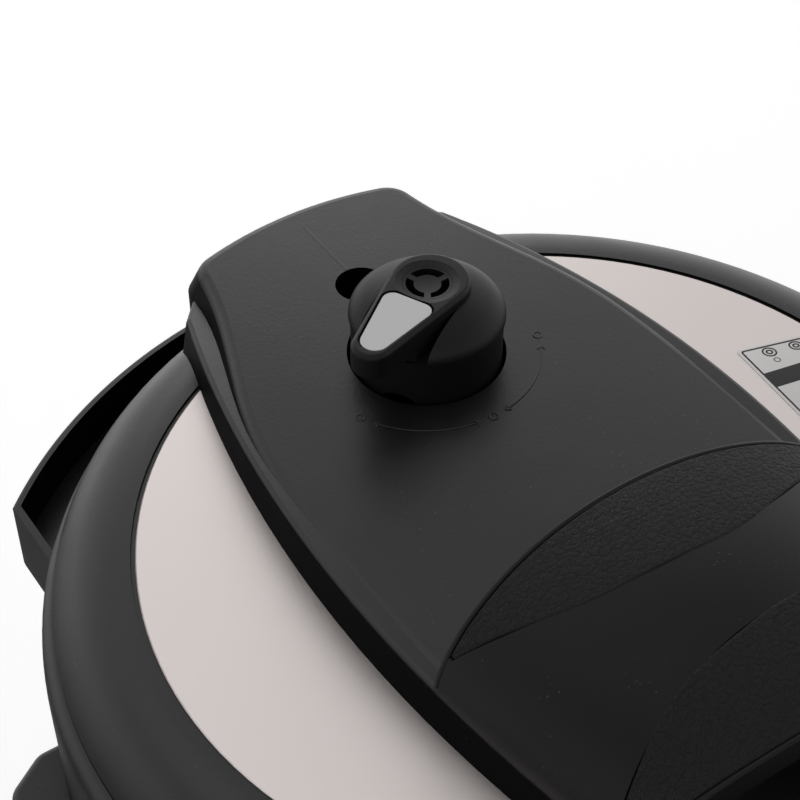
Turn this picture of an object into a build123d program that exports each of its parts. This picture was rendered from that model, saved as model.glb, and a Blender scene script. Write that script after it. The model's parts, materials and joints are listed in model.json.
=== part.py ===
from build123d import *

import os
from math import cos, hypot, radians, sin, sqrt

# Electric pressure cooker, about six litres, standing on its four feet.
# +Z is up, the control panel faces -Y, and the lid's spine runs along X with
# the steam valve at its -X end. The origin is on the table under the middle.

os.makedirs("parts", exist_ok=True)

# ---------------------------------------------------------------- dimensions
# running and seating clearances
CUTTER = 400.0            # length of cutting shapes that pass right through
FIT = 0.2                 # between curved faces that seat on each other
RUN = 0.3                 # between pieces that move past each other

# self-tapping screws and welded studs
SCREW_RADIUS = 1.7
SCREW_HOLE = SCREW_RADIUS + FIT / 2
SCREW_HEAD = 3.2
STUD_RADIUS = 2.5
BOSS_RADIUS = 6.0
STUD_SPOTS = [(-30, 50), (-30, -50), (100, 30), (100, -30)]
HANDLE_SCREW_SPOTS = [(50, 65), (50, -65), (94, 57), (94, -57)]
SPINE_SCREW_SPOTS = [(-118, 34), (-118, -34), (122, 26), (122, -26)]

# stack of heights, from the table up
FOOT_HEIGHT = 6.0
BAY_HEIGHT = 60.5         # electronics bay, feet to heating plate
PLATE_THICK = 14.0
POT_DEPTH = 158.0         # pot floor to the underside of its rim
LID_DEPTH = 26.5          # pot rim to the top of the steel disc

# base housing
HOUSING_INSET = 7.0       # ring outside to housing outside
HOUSING_SHEET = 0.8
SKIRT_HEIGHT = 38.0
SKIRT_WALL = 2.5
SKIRT_DRAFT = 12.0        # how far the skirt draws in at the table
BOTTOM_THICK = 2.5
FOOT_RADIUS = 11.0
FOOT_CIRCLE = 105.0
FOOT_COUNT = 4
POST_SPOTS = [(x, y) for x in (-46, 46) for y in (-24, 40)]
BOARD_THICK = 1.6

# top ring and moat
RING_WIDTH = 14.0         # moat to the ring's outside
RING_WALL = 2.5
RING_RISE = 8.5           # ring top above the pot rim
RING_DEPTH = 51.0
MOAT_GAP = 3.0            # lid skirt to the moat's outer wall
MOAT_DEPTH = 22.5
SLEEVE_WALL = 3.0
SPOUT_RADIUS = 4.0
SPOUT_BORE = 2.8

# side handles
HANDLE_BLOCK_Y = 62.0     # screw blocks under each handle's floor
HANDLE_REACH = 21.5       # beyond the ring
HANDLE_HALF_WIDTH = 122.0
HANDLE_WALL = 2.5
HANDLE_DROP = 16.0        # rim of the handle below the ring's top
HANDLE_HEIGHT = 28.0
HANDLE_FLOOR = 16.0       # depth of the tray from the handle's rim
HANDLE_FLOOR_THICK = 3.0

# cooking vessel
POT_RADIUS = 114.0
POT_WALL = 1.2
POT_CORNER = 14.0
POT_RIM = 9.3
POT_FLOOR = 3.0
LINER_GAP = 1.8
LINER_WALL = 1.2
FLANGE_WIDTH = 8.8
LUG_REACH = 6.0
LUG_THICK = 3.0
LUG_COUNT = 6
LUG_ANGLE = 26.0

# heating plate and sensor
PLATE_INSET = 22.0        # pot wall to the heating plate's edge
PLATE_HOLE = 16.0
BRACKET_INNER = 66.0
BRACKET_THICK = 2.0
ELEMENT_CIRCLE = 58.0
ELEMENT_RADIUS = 4.2
SENSOR_RADIUS = 14.0
SENSOR_THICK = 5.0
STEM_RADIUS = 5.0
SENSOR_CUP_DEPTH = 18.0
SENSOR_CUP_RADIUS = 12.0
SPRING_WIRE = 0.6
SPRING_RADIUS = 8.5
SPRING_TURNS = 5

# lid
DISC_INSET = 26.0         # lid's lip to the steel disc
DISC_THICK = 0.8
GROOVE = 1.4
LIP_INSET = 4.4           # ring outside to the lid's lip
LIP_DROP = 15.0
LIP_THICK = 2.5
RING_BULGE = 4.6          # how far the lid's ring rises above its chord
SHELL_FLOOR = 3.0
PRESS_SHEET = 2.0
LUG_CLEAR = 5.0           # pot's lugs to the lid's skirt
PRESS_CROWN = 5.0
PRESS_DOME = 52.0         # radius of the raised middle
SEAL_WIDTH = 10.8
SEAL_HEIGHT = 10.3
SEAL_LIP = 2.3
SEAL_BACK = 4.0
RACK_WIRE = 1.25
RACK_INSET = 3.4          # inside of the seal to the wire
RACK_POSTS = 6
SHIELD_RADIUS = 13.0

# spine of the lid
SPINE_TOP = 18.0          # flat top above the steel disc
SPINE_HALF_WIDTH = 74.9   # at the foot, half way along
SPINE_END = 150.0
SPINE_END_WIDTH = 41.0
SPINE_SHOULDER_X = 132.4
SPINE_SHOULDER_Y = 54.6
LEDGE_HALF_WIDTH = 73.4
LEDGE_SHOULDER_Y = 49.6
LEDGE_TOP = 15.6
LEDGE_FALL = 7.0
LEDGE_EDGE = 1.8          # rounding along the ledge
UPPER_POINTS = [(42, 68.2), (77, 60.2), (118, 45.6), (145, 39.5)]
UPPER_REACH = 151.5       # bowed end of the flat top
UPPER_CORNER = 10.0
UPPER_INSET = 3.4         # inside the ledge, half way along
UPPER_EDGE = 4.0
UPPER_SPLAY = 4.0         # how much wider the top tier is at its foot
UPPER_DEPTH = 11.0        # depth of its sloping sides
CROWN = 2.7               # fall of the top from the middle to its sides
UPPER_SINK = 2.0          # top tier's lower edge above the spine's
CAVITY_TOP = 6.0          # hollow under the ledge, above the disc
CAVITY_HIGH = 14.5        # hollow under the flat top, above the disc
CAVITY_END = 120.0
SPINE_WALL = 3.0
WELL_DEPTH = 8.0
WELL_RADIUS = 50.0

# steam valve and float valve
VALVE_TO_FLOAT = 37.7
RECESS_RADIUS = 25.0
RECESS_FLOOR = 3.0
PIPE_RADIUS = 4.6
PIPE_BORE = 1.6
PIPE_TOP = 16.0           # above the steel disc
KNOB_RADIUS = 23.7
KNOB_WALL = 2.2
HUB_WALL = 3.0
WEB_THICK = 4.0
KNOB_FOOT = 4.5           # skirt's lower edge above the disc
KNOB_SHOULDER = 33.5      # skirt's upper edge above the disc
DOME_RADIUS = 24.3
DOME_TOP = 44.0
NOTCH_CURVE = 7.0
NOTCH_RISE = 1.8          # notch above the spine's top face
NOTCH_TURN = 9.0
POINTER_TOP = 46.0
POINTER_ANGLE = -64.5
POINTER_BACK = 12.6
POINTER_NOSE = 6.5
POINTER_REACH = 38.5
NOSE_BOTTOM = 37.5
POCKET_HALF_WIDTH = 12.2
INLAY_DEPTH = 1.2
INLAY_GROOVE = 0.7
VENT_RADIUS = 10.0
VENT_DISH = 1.3
VENT_CAP_RADIUS = 7.6
VENT_CAP_THICK = 2.0
SLOT_INNER = 4.2
SLOT_OUTER = 6.7
WEIGHT_RADIUS = 8.0
WEIGHT_LAP = 6.0          # how far the weight reaches down over the pipe
SPINDLE_FIT = 0.06
FLOAT_INSET = 8.9         # seal to the float valve's axis
FLOAT_HOLE = 8.4
FLOAT_PIN = 3.0
FLOAT_HEAD = 5.0
FLOAT_HEAD_THICK = 4.0
GUIDE_RADIUS = 6.3
FLOAT_RISE = 6.0
FLOAT_SUNK = 8.0
GASKET_RADIUS = 6.6
GASKET_HEIGHT = 2.6

# lid handle
GRIP_X = 72.0
GRIP_LENGTH = 90.0
GRIP_TOP = 47.0
GRIP_SPRING_Z = 12.0      # height where the arch's ellipse has its centre
GRIP_THICK = 9.0
GRIP_SINK = 5.0           # arch's foot above the disc, inside the spine
GRIP_STATIONS = 5
GRIP_EDGE_DROP = 5.0
GRIP_EDGE_BOW = 0.0023
PAD_DEPTH = 1.4
PAD_WIDTH = 32.0
PAD_BOW = 0.0044
PAD_EDGE = 1.4            # border left round each pad
PAD_FOOT = 6.0            # pads stop this far above the spine's top
GRIP_SIDE = 80.0          # beyond the handle's widest point

# front panel, rear cup and inlet
PANEL_DEPTH = 17.0        # beyond the housing
PANEL_HALF_WIDTH = 62.0
PANEL_WALL = 3.0
PANEL_SINK = 1.2
OVERLAY_HALF_WIDTH = 44.0
OVERLAY_MARGIN = 14.0
KEY_RADIUS = 6.0
KEY_PITCH = 14.5
WINDOW_HALF_WIDTH = 25.0
WINDOW_HEIGHT = 28.0
CUP_DEPTH = 15.8
CUP_BOW = 5.0
CUP_HALF_WIDTH = 37.0
CUP_HEIGHT = 52.0
CUP_WALL = 2.0
CUP_DROP = 4.5            # cup mouth below the ring
CUP_BACK = 1.2            # cup's back edge clear of the housing
PAD_HALF_WIDTH = 29.0
PAD_HEIGHT = 38.0
PAD_STAND = 4.0           # bracket beyond the housing
INLET_WIDTH = 28.0
INLET_HEIGHT = 20.0
INLET_DEPTH = 24.0
INLET_WALL = 2.0
INLET_Z = 26.0
INLET_BOSS = 2.0          # boss round the inlet, proud of the skirt

# ------------------------------------------------------- radii, from the pot outwards
seal_inner = POT_RADIUS + POT_WALL
seal_outer = seal_inner + SEAL_WIDTH
plate_radius = POT_RADIUS - PLATE_INSET
rack_radius = seal_inner + RACK_INSET
float_x = FLOAT_INSET - seal_inner
valve_x = float_x + VALVE_TO_FLOAT
liner_inner = POT_RADIUS + POT_WALL + LINER_GAP
liner_outer = liner_inner + LINER_WALL
liner_flange = liner_outer + FLANGE_WIDTH
press_skirt = liner_flange + LUG_REACH + LUG_CLEAR
moat_radius = press_skirt + MOAT_GAP
ring_radius = moat_radius + RING_WIDTH
housing_radius = ring_radius - HOUSING_INSET
handle_radius = ring_radius + HANDLE_REACH
lip_radius = ring_radius - LIP_INSET
disc_radius = lip_radius - DISC_INSET
panel_reach = housing_radius + PANEL_DEPTH
pad_reach = housing_radius + PAD_STAND
cup_reach = housing_radius + CUP_BACK + CUP_DEPTH

# --------------------------------------------------------------- levels and fits
plate_bottom = FOOT_HEIGHT + BAY_HEIGHT
pot_floor = plate_bottom + PLATE_THICK
rim_z = pot_floor + POT_DEPTH
disc_z = rim_z + LID_DEPTH
top_face = disc_z + SPINE_TOP
ring_top = rim_z + RING_RISE
ring_bottom = ring_top - RING_DEPTH
skirt_top = FOOT_HEIGHT + SKIRT_HEIGHT
skirt_outer = housing_radius + FIT + SKIRT_WALL
seat_radius = housing_radius + FIT
housing_bottom = skirt_top - 6.0
housing_top = ring_bottom + 5.0
lip_z = disc_z - LIP_DROP
shell_bottom = disc_z - DISC_THICK - SHELL_FLOOR
seal_bottom = rim_z + POT_WALL + RUN
press_under = seal_bottom + SEAL_HEIGHT
press_top = press_under + PRESS_SHEET
lug_under = rim_z - LUG_THICK
lug_gap = 3.0
lid_lug_top = lug_under - lug_gap
press_foot = lid_lug_top - LUG_THICK


def revolved(points):
    """A ring or disc turned about Z from (radius, height) points."""
    with BuildPart() as turned:
        with BuildSketch(Plane.XZ):
            with BuildLine():
                Polyline(*points, close=True)
            make_face()
        revolve(axis=Axis.Z)
    return turned.part


def disc(radius, low, high, at=(0, 0)):
    """An upright cylinder between two heights."""
    with BuildPart(Plane.XY.offset(low)) as made:
        with Locations(at):
            Cylinder(radius, high - low, align=(Align.CENTER, Align.CENTER, Align.MIN))
    return made.part


def box_between(low, high):
    """A block given by two opposite corners."""
    size = [h - l for l, h in zip(low, high)]
    with BuildPart() as made:
        with Locations(tuple(low)):
            Box(*size, align=(Align.MIN, Align.MIN, Align.MIN))
    return made.part


def save(part, name):
    """Label a finished piece and write its STEP file."""
    part.label = name
    export_step(part, f"parts/{name}.step")


# ------------------------------------------------------------------ base housing
foot_edge = skirt_outer - SKIRT_DRAFT
base_screw_circle = foot_edge - 7.5
inlet_face = skirt_outer + INLET_BOSS

with BuildPart() as base_skirt:
    with BuildSketch(Plane.XZ):
        with BuildLine():
            Line((foot_edge, FOOT_HEIGHT), (foot_edge - 12, FOOT_HEIGHT))
            Line((foot_edge - 12, FOOT_HEIGHT), (foot_edge - 12, FOOT_HEIGHT + BOTTOM_THICK))
            Line(
                (foot_edge - 12, FOOT_HEIGHT + BOTTOM_THICK),
                (foot_edge - 1, FOOT_HEIGHT + BOTTOM_THICK),
            )
            Spline(
                (foot_edge - 1, FOOT_HEIGHT + BOTTOM_THICK),
                (seat_radius - 3, skirt_top - 14),
                tangents=((1, 0.5), (0, 1)),
            )
            Polyline(
                (seat_radius - 3, skirt_top - 14),
                (seat_radius - 3, housing_bottom),
                (seat_radius, housing_bottom),
                (seat_radius, skirt_top),
                (skirt_outer, skirt_top),
                (skirt_outer, skirt_top - 14),
            )
            Spline(
                (skirt_outer, skirt_top - 14),
                (foot_edge, FOOT_HEIGHT),
                tangents=((0, -1), (-1, -0.5)),
            )
        make_face()
    revolve(axis=Axis.Z)
    # flat boss at the back round the mains inlet, and the inlet's window
    with BuildSketch(Plane.XZ.offset(-inlet_face)):
        with Locations((0, INLET_Z)):
            RectangleRounded(INLET_WIDTH + 14, INLET_HEIGHT + 12, 4)
    extrude(amount=16)
    add(disc(seat_radius, housing_bottom, skirt_top), mode=Mode.SUBTRACT)
    with BuildSketch(Plane.XZ.offset(-inlet_face)):
        with Locations((0, INLET_Z)):
            Rectangle(INLET_WIDTH + 2 * FIT, INLET_HEIGHT + 2 * FIT)
    extrude(amount=30, mode=Mode.SUBTRACT)
    with BuildSketch(Plane.XY.offset(FOOT_HEIGHT)):
        with PolarLocations(base_screw_circle, 4):
            Circle(SCREW_HOLE)
    extrude(amount=BOTTOM_THICK, mode=Mode.SUBTRACT)
save(base_skirt.part, "base_skirt")


bottom_z = FOOT_HEIGHT + BOTTOM_THICK
plate_top = bottom_z + BOTTOM_THICK
board_z = plate_top + 7.0

with BuildPart() as bottom_plate:
    with Locations((0, 0, bottom_z)):
        Cylinder(foot_edge - 3, BOTTOM_THICK, align=(Align.CENTER, Align.CENTER, Align.MIN))
    with Locations(*[(x, y, plate_top) for x, y in POST_SPOTS]):
        Cylinder(3.5, board_z - plate_top, align=(Align.CENTER, Align.CENTER, Align.MIN))
    with BuildSketch(Plane.XY.offset(bottom_z)):
        with PolarLocations(78, 16):
            SlotOverall(26, 4)
    extrude(amount=BOTTOM_THICK, mode=Mode.SUBTRACT)
    with BuildSketch(Plane.XY.offset(bottom_z)):
        with PolarLocations(FOOT_CIRCLE, FOOT_COUNT, start_angle=45):
            Circle(4 + FIT / 2)
        with PolarLocations(base_screw_circle, 4):
            Circle(SCREW_HOLE)
    extrude(amount=BOTTOM_THICK, mode=Mode.SUBTRACT)
save(bottom_plate.part, "bottom_plate")

foot = revolved([
    (0, 0), (FOOT_RADIUS - 1.5, 0), (FOOT_RADIUS, 1.5), (FOOT_RADIUS, bottom_z), (4, bottom_z),
    (4, plate_top), (5.4, plate_top), (3.5, plate_top + 2), (0, plate_top + 2),
])
with BuildPart() as rubber_feet:
    with PolarLocations(FOOT_CIRCLE, FOOT_COUNT, start_angle=45):
        add(foot)
save(rubber_feet.part, "rubber_feet")

base_screw = revolved([
    (0, FOOT_HEIGHT - 1.6), (SCREW_HEAD, FOOT_HEIGHT - 1.6), (SCREW_HEAD, FOOT_HEIGHT),
    (SCREW_RADIUS, FOOT_HEIGHT), (SCREW_RADIUS, plate_top + 3), (0, plate_top + 3),
])
with BuildPart() as base_screws:
    with PolarLocations(base_screw_circle, 4):
        add(base_screw)
save(base_screws.part, "base_screws")

with BuildPart() as steel_housing:
    add(revolved([
        (housing_radius - HOUSING_SHEET, housing_bottom), (housing_radius, housing_bottom),
        (housing_radius, housing_top), (housing_radius - HOUSING_SHEET, housing_top),
    ]))
    # window for the panel's wiring
    add(
        box_between((-30, -housing_radius - 1, skirt_top + 30), (30, -100, ring_bottom - 30)),
        mode=Mode.SUBTRACT,
    )
save(steel_housing.part, "steel_housing")

# top ring: sleeve that carries the liner, moat for condensation, outer wall
sleeve_inner = liner_outer + FIT
moat_floor = ring_top - MOAT_DEPTH
moat_under = moat_floor - SLEEVE_WALL
handle_top = ring_top - HANDLE_DROP
handle_bottom = handle_top - HANDLE_HEIGHT
tray_floor = handle_top - HANDLE_FLOOR
tray_under = tray_floor - HANDLE_FLOOR_THICK
spout_level = moat_under - 9.0
spout_y = (moat_radius + sleeve_inner) / 2 + 3
spout_out = ring_radius + SPOUT_RADIUS + RUN
spout_end = ring_bottom - 2.0
wall_inner = ring_radius - RING_WALL

with BuildPart() as top_ring:
    with BuildSketch(Plane.XZ):
        with BuildLine():
            Polyline(
                (ring_radius, ring_top - 12),
                (ring_radius, ring_bottom + 5),
                (ring_radius - 3, ring_bottom),
                (seat_radius, ring_bottom),
                (seat_radius, housing_top),
                (seat_radius - 2, housing_top),
                (seat_radius - 2, housing_top + 2.5),
                (wall_inner, housing_top + 2.5),
                (wall_inner, ring_top - 13),
                (ring_radius - 7.5, ring_top - RING_WALL),
                (moat_radius + RING_WALL, ring_top - RING_WALL),
                (moat_radius + RING_WALL, moat_under),
                (sleeve_inner, moat_under),
                (sleeve_inner, lug_under),
                (sleeve_inner + SLEEVE_WALL, lug_under),
                (sleeve_inner + SLEEVE_WALL, moat_floor),
                (moat_radius, moat_floor),
                (moat_radius, ring_top),
                (ring_radius - 7, ring_top),
            )
            Spline(
                (ring_radius - 7, ring_top),
                (ring_radius, ring_top - 12),
                tangents=((1, 0), (0, -1)),
            )
        make_face()
    revolve(axis=Axis.Z)
    # drain hole in the moat and the spout's way out through the wall
    add(disc(SPOUT_BORE, moat_under - 1, moat_floor + 1, (0, spout_y)), mode=Mode.SUBTRACT)
    with Locations((0, ring_radius - 4, spout_level)):
        Cylinder(SPOUT_RADIUS + FIT, 20, rotation=(90, 0, 0), mode=Mode.SUBTRACT)
    with Locations(*[
        Location((side * ring_radius * 0.9, y, tray_under - 4.5), (0, 90, 0))
        for side in (-1, 1) for y in (-HANDLE_BLOCK_Y, HANDLE_BLOCK_Y)
    ]):
        Cylinder(SCREW_HOLE, 60, mode=Mode.SUBTRACT)
save(top_ring.part, "top_ring")


def side_handle(side):
    """A tray-shaped carrying handle round one end of the ring: side is -1 or 1."""
    with BuildPart() as handle:
        with BuildSketch(Plane.XY.offset(handle_bottom)):
            Circle(handle_radius)
            Circle(ring_radius + FIT, mode=Mode.SUBTRACT)
            with Locations((side * handle_radius, 0)):
                Rectangle(2 * 85, 2 * HANDLE_HALF_WIDTH, mode=Mode.INTERSECT)
        extrude(amount=HANDLE_HEIGHT)
        hollows = ((tray_floor, handle_top), (handle_bottom, tray_under))
        for low, high in hollows:
            with BuildSketch(Plane.XY.offset(low)):
                Circle(handle_radius - HANDLE_WALL)
                Circle(ring_radius + FIT - 1, mode=Mode.SUBTRACT)
                with Locations((side * handle_radius, 0)):
                    Rectangle(
                        2 * 87, 2 * (HANDLE_HALF_WIDTH - HANDLE_WALL), mode=Mode.INTERSECT
                    )
            extrude(amount=high - low, mode=Mode.SUBTRACT)
        # screw blocks under the floor, against the ring
        with BuildSketch(Plane.XY.offset(handle_bottom)):
            with Locations(*[
                (side * ring_radius * 0.955, y) for y in (-HANDLE_BLOCK_Y, HANDLE_BLOCK_Y)
            ]):
                Rectangle(22, 14)
            Circle(ring_radius + FIT, mode=Mode.SUBTRACT)
        extrude(amount=tray_under - handle_bottom)
        with Locations(*[
            Location((side * ring_radius * 0.96, y, tray_under - 4.5), (0, 90, 0))
            for y in (-HANDLE_BLOCK_Y, HANDLE_BLOCK_Y)
        ]):
            Cylinder(SCREW_HOLE, 16, mode=Mode.SUBTRACT)
        outer_rim = handle.edges().filter_by(GeomType.CIRCLE).filter_by(
            lambda e: abs(e.radius - handle_radius) < 0.1
        )
        fillet(outer_rim, 1.0)
    return handle.part


save(side_handle(-1), "side_handle_left")
save(side_handle(1), "side_handle_right")

screw_seat = sqrt(wall_inner**2 - (HANDLE_BLOCK_Y + SCREW_HEAD) ** 2)
with BuildPart() as side_handle_screws:
    for side in (-1, 1):
        for y in (-HANDLE_BLOCK_Y, HANDLE_BLOCK_Y):
            spin = 90 * side
            with Locations(Location((side * (screw_seat - 2), y, tray_under - 4.5), (0, spin, 0))):
                Cylinder(
                    SCREW_RADIUS, 18, align=(Align.CENTER, Align.CENTER, Align.MIN)
                )
                Cylinder(
                    SCREW_HEAD, 2, align=(Align.CENTER, Align.CENTER, Align.MIN)
                )
save(side_handle_screws.part, "side_handle_screws")

with BuildPart() as drain_spout:
    with BuildLine():
        FilletPolyline(
            (0, spout_y, moat_under),
            (0, spout_y, spout_level),
            (0, spout_out, spout_level),
            (0, spout_out, spout_end),
            radius=4.5,
        )
    with BuildSketch(Plane.XY.offset(moat_under)):
        with Locations((0, spout_y)):
            Circle(SPOUT_RADIUS)
            Circle(SPOUT_BORE, mode=Mode.SUBTRACT)
    sweep()
save(drain_spout.part, "drain_spout")


# ------------------------------------------------------------------ cooking vessel
def lug_ring(inner, outer, low, high):
    """Bayonet lugs: LUG_COUNT arc-shaped blocks between two radii and two heights."""
    half = radians(LUG_ANGLE / 2)
    with BuildPart() as lugs:
        with BuildSketch(Plane.XY.offset(low)):
            with PolarLocations(0, LUG_COUNT):
                with BuildLine():
                    corners = [
                        (r * cos(a), r * sin(a))
                        for r, a in ((inner, -half), (outer, -half), (outer, half), (inner, half))
                    ]
                    Line(corners[0], corners[1])
                    ThreePointArc(corners[1], (outer, 0), corners[2])
                    Line(corners[2], corners[3])
                    ThreePointArc(corners[3], (inner, 0), corners[0])
                make_face()
        extrude(amount=high - low)
    return lugs.part


with BuildPart() as outer_pot:
    add(revolved([
        (plate_radius + 5, plate_bottom), (liner_outer, plate_bottom), (liner_outer, lug_under),
        (liner_flange, lug_under), (liner_flange, rim_z), (liner_inner, rim_z),
        (liner_inner, plate_bottom + LINER_WALL), (plate_radius + 5, plate_bottom + LINER_WALL),
    ]))
    add(lug_ring(liner_flange - 1, liner_flange + LUG_REACH, lug_under, rim_z))
save(outer_pot.part, "outer_pot")

pot_outer = POT_RADIUS + POT_WALL
with BuildPart() as inner_pot:
    with BuildSketch(Plane.XZ):
        with BuildLine():
            Line((0, pot_floor), (pot_outer - POT_CORNER, pot_floor))
            RadiusArc(
                (pot_outer - POT_CORNER, pot_floor), (pot_outer, pot_floor + POT_CORNER), -POT_CORNER
            )
            Polyline(
                (pot_outer, pot_floor + POT_CORNER),
                (pot_outer, rim_z),
                (pot_outer + POT_RIM, rim_z),
                (pot_outer + POT_RIM, rim_z + POT_WALL),
                (POT_RADIUS, rim_z + POT_WALL),
                (POT_RADIUS, pot_floor + POT_CORNER),
            )
            RadiusArc(
                (POT_RADIUS, pot_floor + POT_CORNER),
                (POT_RADIUS - POT_CORNER + POT_FLOOR, pot_floor + POT_FLOOR),
                POT_CORNER - POT_FLOOR,
            )
            Polyline(
                (POT_RADIUS - POT_CORNER + POT_FLOOR, pot_floor + POT_FLOOR),
                (0, pot_floor + POT_FLOOR),
                (0, pot_floor),
            )
        make_face()
    revolve(axis=Axis.Z)
save(inner_pot.part, "inner_pot")

with BuildPart() as heating_plate:
    add(revolved([
        (PLATE_HOLE, plate_bottom), (plate_radius, plate_bottom), (plate_radius, pot_floor - 4),
        (plate_radius - 5, pot_floor), (PLATE_HOLE, pot_floor),
    ]))
    with Locations((0, 0, plate_bottom)):
        Torus(ELEMENT_CIRCLE, ELEMENT_RADIUS + FIT / 2, mode=Mode.SUBTRACT)
save(heating_plate.part, "heating_plate")

with BuildPart() as heating_element:
    with Locations((0, 0, plate_bottom)):
        Torus(ELEMENT_CIRCLE, ELEMENT_RADIUS)
    with Locations(*[(x, -ELEMENT_CIRCLE, plate_bottom) for x in (-9, 9)]):
        Cylinder(2.4, 16, align=(Align.CENTER, Align.CENTER, Align.MAX))
save(heating_element.part, "heating_element")

with BuildPart() as plate_bracket:
    add(revolved([
        (BRACKET_INNER, plate_bottom - BRACKET_THICK), (liner_inner - 5, plate_bottom - BRACKET_THICK),
        (liner_inner - 5, plate_bottom), (BRACKET_INNER, plate_bottom),
    ]))
    with BuildSketch(Plane.XY.offset(plate_bottom - BRACKET_THICK)):
        with PolarLocations((BRACKET_INNER + plate_radius) / 2, 6, start_angle=30):
            SlotOverall(14, 8, rotation=90)
    extrude(amount=BRACKET_THICK, mode=Mode.SUBTRACT)
save(plate_bracket.part, "plate_bracket")

cup_low = plate_bottom - SENSOR_CUP_DEPTH
with BuildPart() as sensor_holder:
    add(revolved([
        (STEM_RADIUS + RUN, cup_low), (SENSOR_CUP_RADIUS + 2, cup_low),
        (SENSOR_CUP_RADIUS + 2, plate_bottom - BRACKET_THICK), (28, plate_bottom - BRACKET_THICK),
        (28, plate_bottom), (SENSOR_CUP_RADIUS, plate_bottom), (SENSOR_CUP_RADIUS, cup_low + 2),
        (STEM_RADIUS + RUN, cup_low + 2),
    ]))
save(sensor_holder.part, "sensor_holder")

sensor_top = pot_floor - RUN
sensor_under = sensor_top - SENSOR_THICK
sensor = revolved([
    (0, cup_low - 4), (STEM_RADIUS, cup_low - 4), (STEM_RADIUS, sensor_under),
    (SENSOR_RADIUS, sensor_under), (SENSOR_RADIUS, sensor_top - 1), (SENSOR_RADIUS - 1, sensor_top),
    (0, sensor_top),
])
save(sensor, "thermal_sensor")

spring_low = cup_low + 2 + SPRING_WIRE + 0.05
spring_high = sensor_under - SPRING_WIRE - 0.05
with BuildPart() as sensor_spring:
    with BuildLine() as coil:
        Helix(
            pitch=(spring_high - spring_low) / SPRING_TURNS,
            height=spring_high - spring_low,
            radius=SPRING_RADIUS,
            center=(0, 0, spring_low),
        )
    with BuildSketch(Plane(origin=coil.line @ 0, z_dir=coil.line % 0)):
        RegularPolygon(SPRING_WIRE, 6)
    sweep(is_frenet=True)
save(sensor_spring.part, "sensor_spring")

with BuildPart() as pressure_switch:
    with Locations((0, (BRACKET_INNER + plate_radius) / 2 + 10, plate_bottom - BRACKET_THICK)):
        Box(26, 16, 12, align=(Align.CENTER, Align.CENTER, Align.MAX))
        with Locations((-8, 0, -12), (8, 0, -12)):
            Box(1, 6, 8, align=(Align.CENTER, Align.CENTER, Align.MAX))
save(pressure_switch.part, "pressure_switch")

with BuildPart() as power_board:
    add(box_between((-52, -30, board_z), (52, 46, board_z + BOARD_THICK)))
save(power_board.part, "power_board")

board_top = board_z + BOARD_THICK
with BuildPart() as board_parts:
    with Locations((-34, -14, board_top), (-34, 8, board_top)):
        Box(20, 16, 17, align=(Align.CENTER, Align.CENTER, Align.MIN))
    with Locations((2, 24, board_top)):
        Box(32, 26, 22, align=(Align.CENTER, Align.CENTER, Align.MIN))
    with Locations((36, 30, board_top), (36, 10, board_top)):
        Cylinder(7, 18, align=(Align.CENTER, Align.CENTER, Align.MIN))
    with Locations((10, -16, board_top)):
        Box(24, 6, 20, align=(Align.CENTER, Align.CENTER, Align.MIN))
save(board_parts.part, "board_parts")


# ------------------------------------------------------------------ front panel
panel_low = skirt_top + 1.0
panel_high = ring_bottom - 1.0
panel_face = panel_reach - 0.6
panel_back = housing_radius - 28.0
overlay_face = panel_reach - 0.5
overlay_low = panel_low + OVERLAY_MARGIN
overlay_high = panel_high - OVERLAY_MARGIN
window_low = overlay_high - 14.0 - WINDOW_HEIGHT
first_key = overlay_low + 13
KEY_SPOTS = [(x, first_key + KEY_PITCH * row) for x in (-30, 30) for row in range(5)]
KEY_SPOTS += [(0, first_key), (0, first_key + KEY_PITCH * 2)]
panel_board_y = -(panel_face - PANEL_WALL - 3.4)

with BuildPart() as panel_housing:
    with BuildSketch(Plane.XY.offset(panel_low)):
        with BuildLine():
            Polyline(
                (-PANEL_HALF_WIDTH, -panel_back),
                (-PANEL_HALF_WIDTH, -panel_face + 14),
                (-PANEL_HALF_WIDTH + 9, -panel_face),
                (PANEL_HALF_WIDTH - 9, -panel_face),
                (PANEL_HALF_WIDTH, -panel_face + 14),
                (PANEL_HALF_WIDTH, -panel_back),
                close=True,
            )
        make_face()
    extrude(amount=panel_high - panel_low)
    upright = panel_housing.edges().filter_by(Axis.Z).group_by(Axis.Y)
    fillet(upright[0] + upright[1], 7)
    front = panel_housing.faces().sort_by(Axis.Y)[0]
    fillet(front.edges(), 3)
    add(disc(seat_radius, panel_low, panel_high), mode=Mode.SUBTRACT)
    # hollow behind the front wall, the overlay's recess and the display's window
    hollow_half = PANEL_HALF_WIDTH - 8
    add(
        box_between(
            (-hollow_half, -panel_face + PANEL_WALL, panel_low + 7),
            (hollow_half, -housing_radius + 40, panel_high - 7),
        ),
        mode=Mode.SUBTRACT,
    )
    with BuildSketch(Plane.XZ.offset(panel_face)):
        with Locations((0, (overlay_low + overlay_high) / 2)):
            RectangleRounded(
                2 * (OVERLAY_HALF_WIDTH + FIT), overlay_high - overlay_low + 2 * FIT, 8
            )
    extrude(amount=-PANEL_SINK, mode=Mode.SUBTRACT)
    with BuildSketch(Plane.XZ.offset(panel_face)):
        with Locations((0, window_low + WINDOW_HEIGHT / 2)):
            Rectangle(2 * WINDOW_HALF_WIDTH, WINDOW_HEIGHT)
    extrude(amount=-PANEL_WALL, mode=Mode.SUBTRACT)
    # posts that carry the control board
    with BuildSketch(Plane.XZ.offset(panel_face - PANEL_WALL)):
        with Locations(*[
            (x, z) for x in (-46, 46) for z in (overlay_low + 4, overlay_high - 4)
        ]):
            Circle(3)
    extrude(amount=-3.4)
save(panel_housing.part, "panel_housing")

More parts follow.
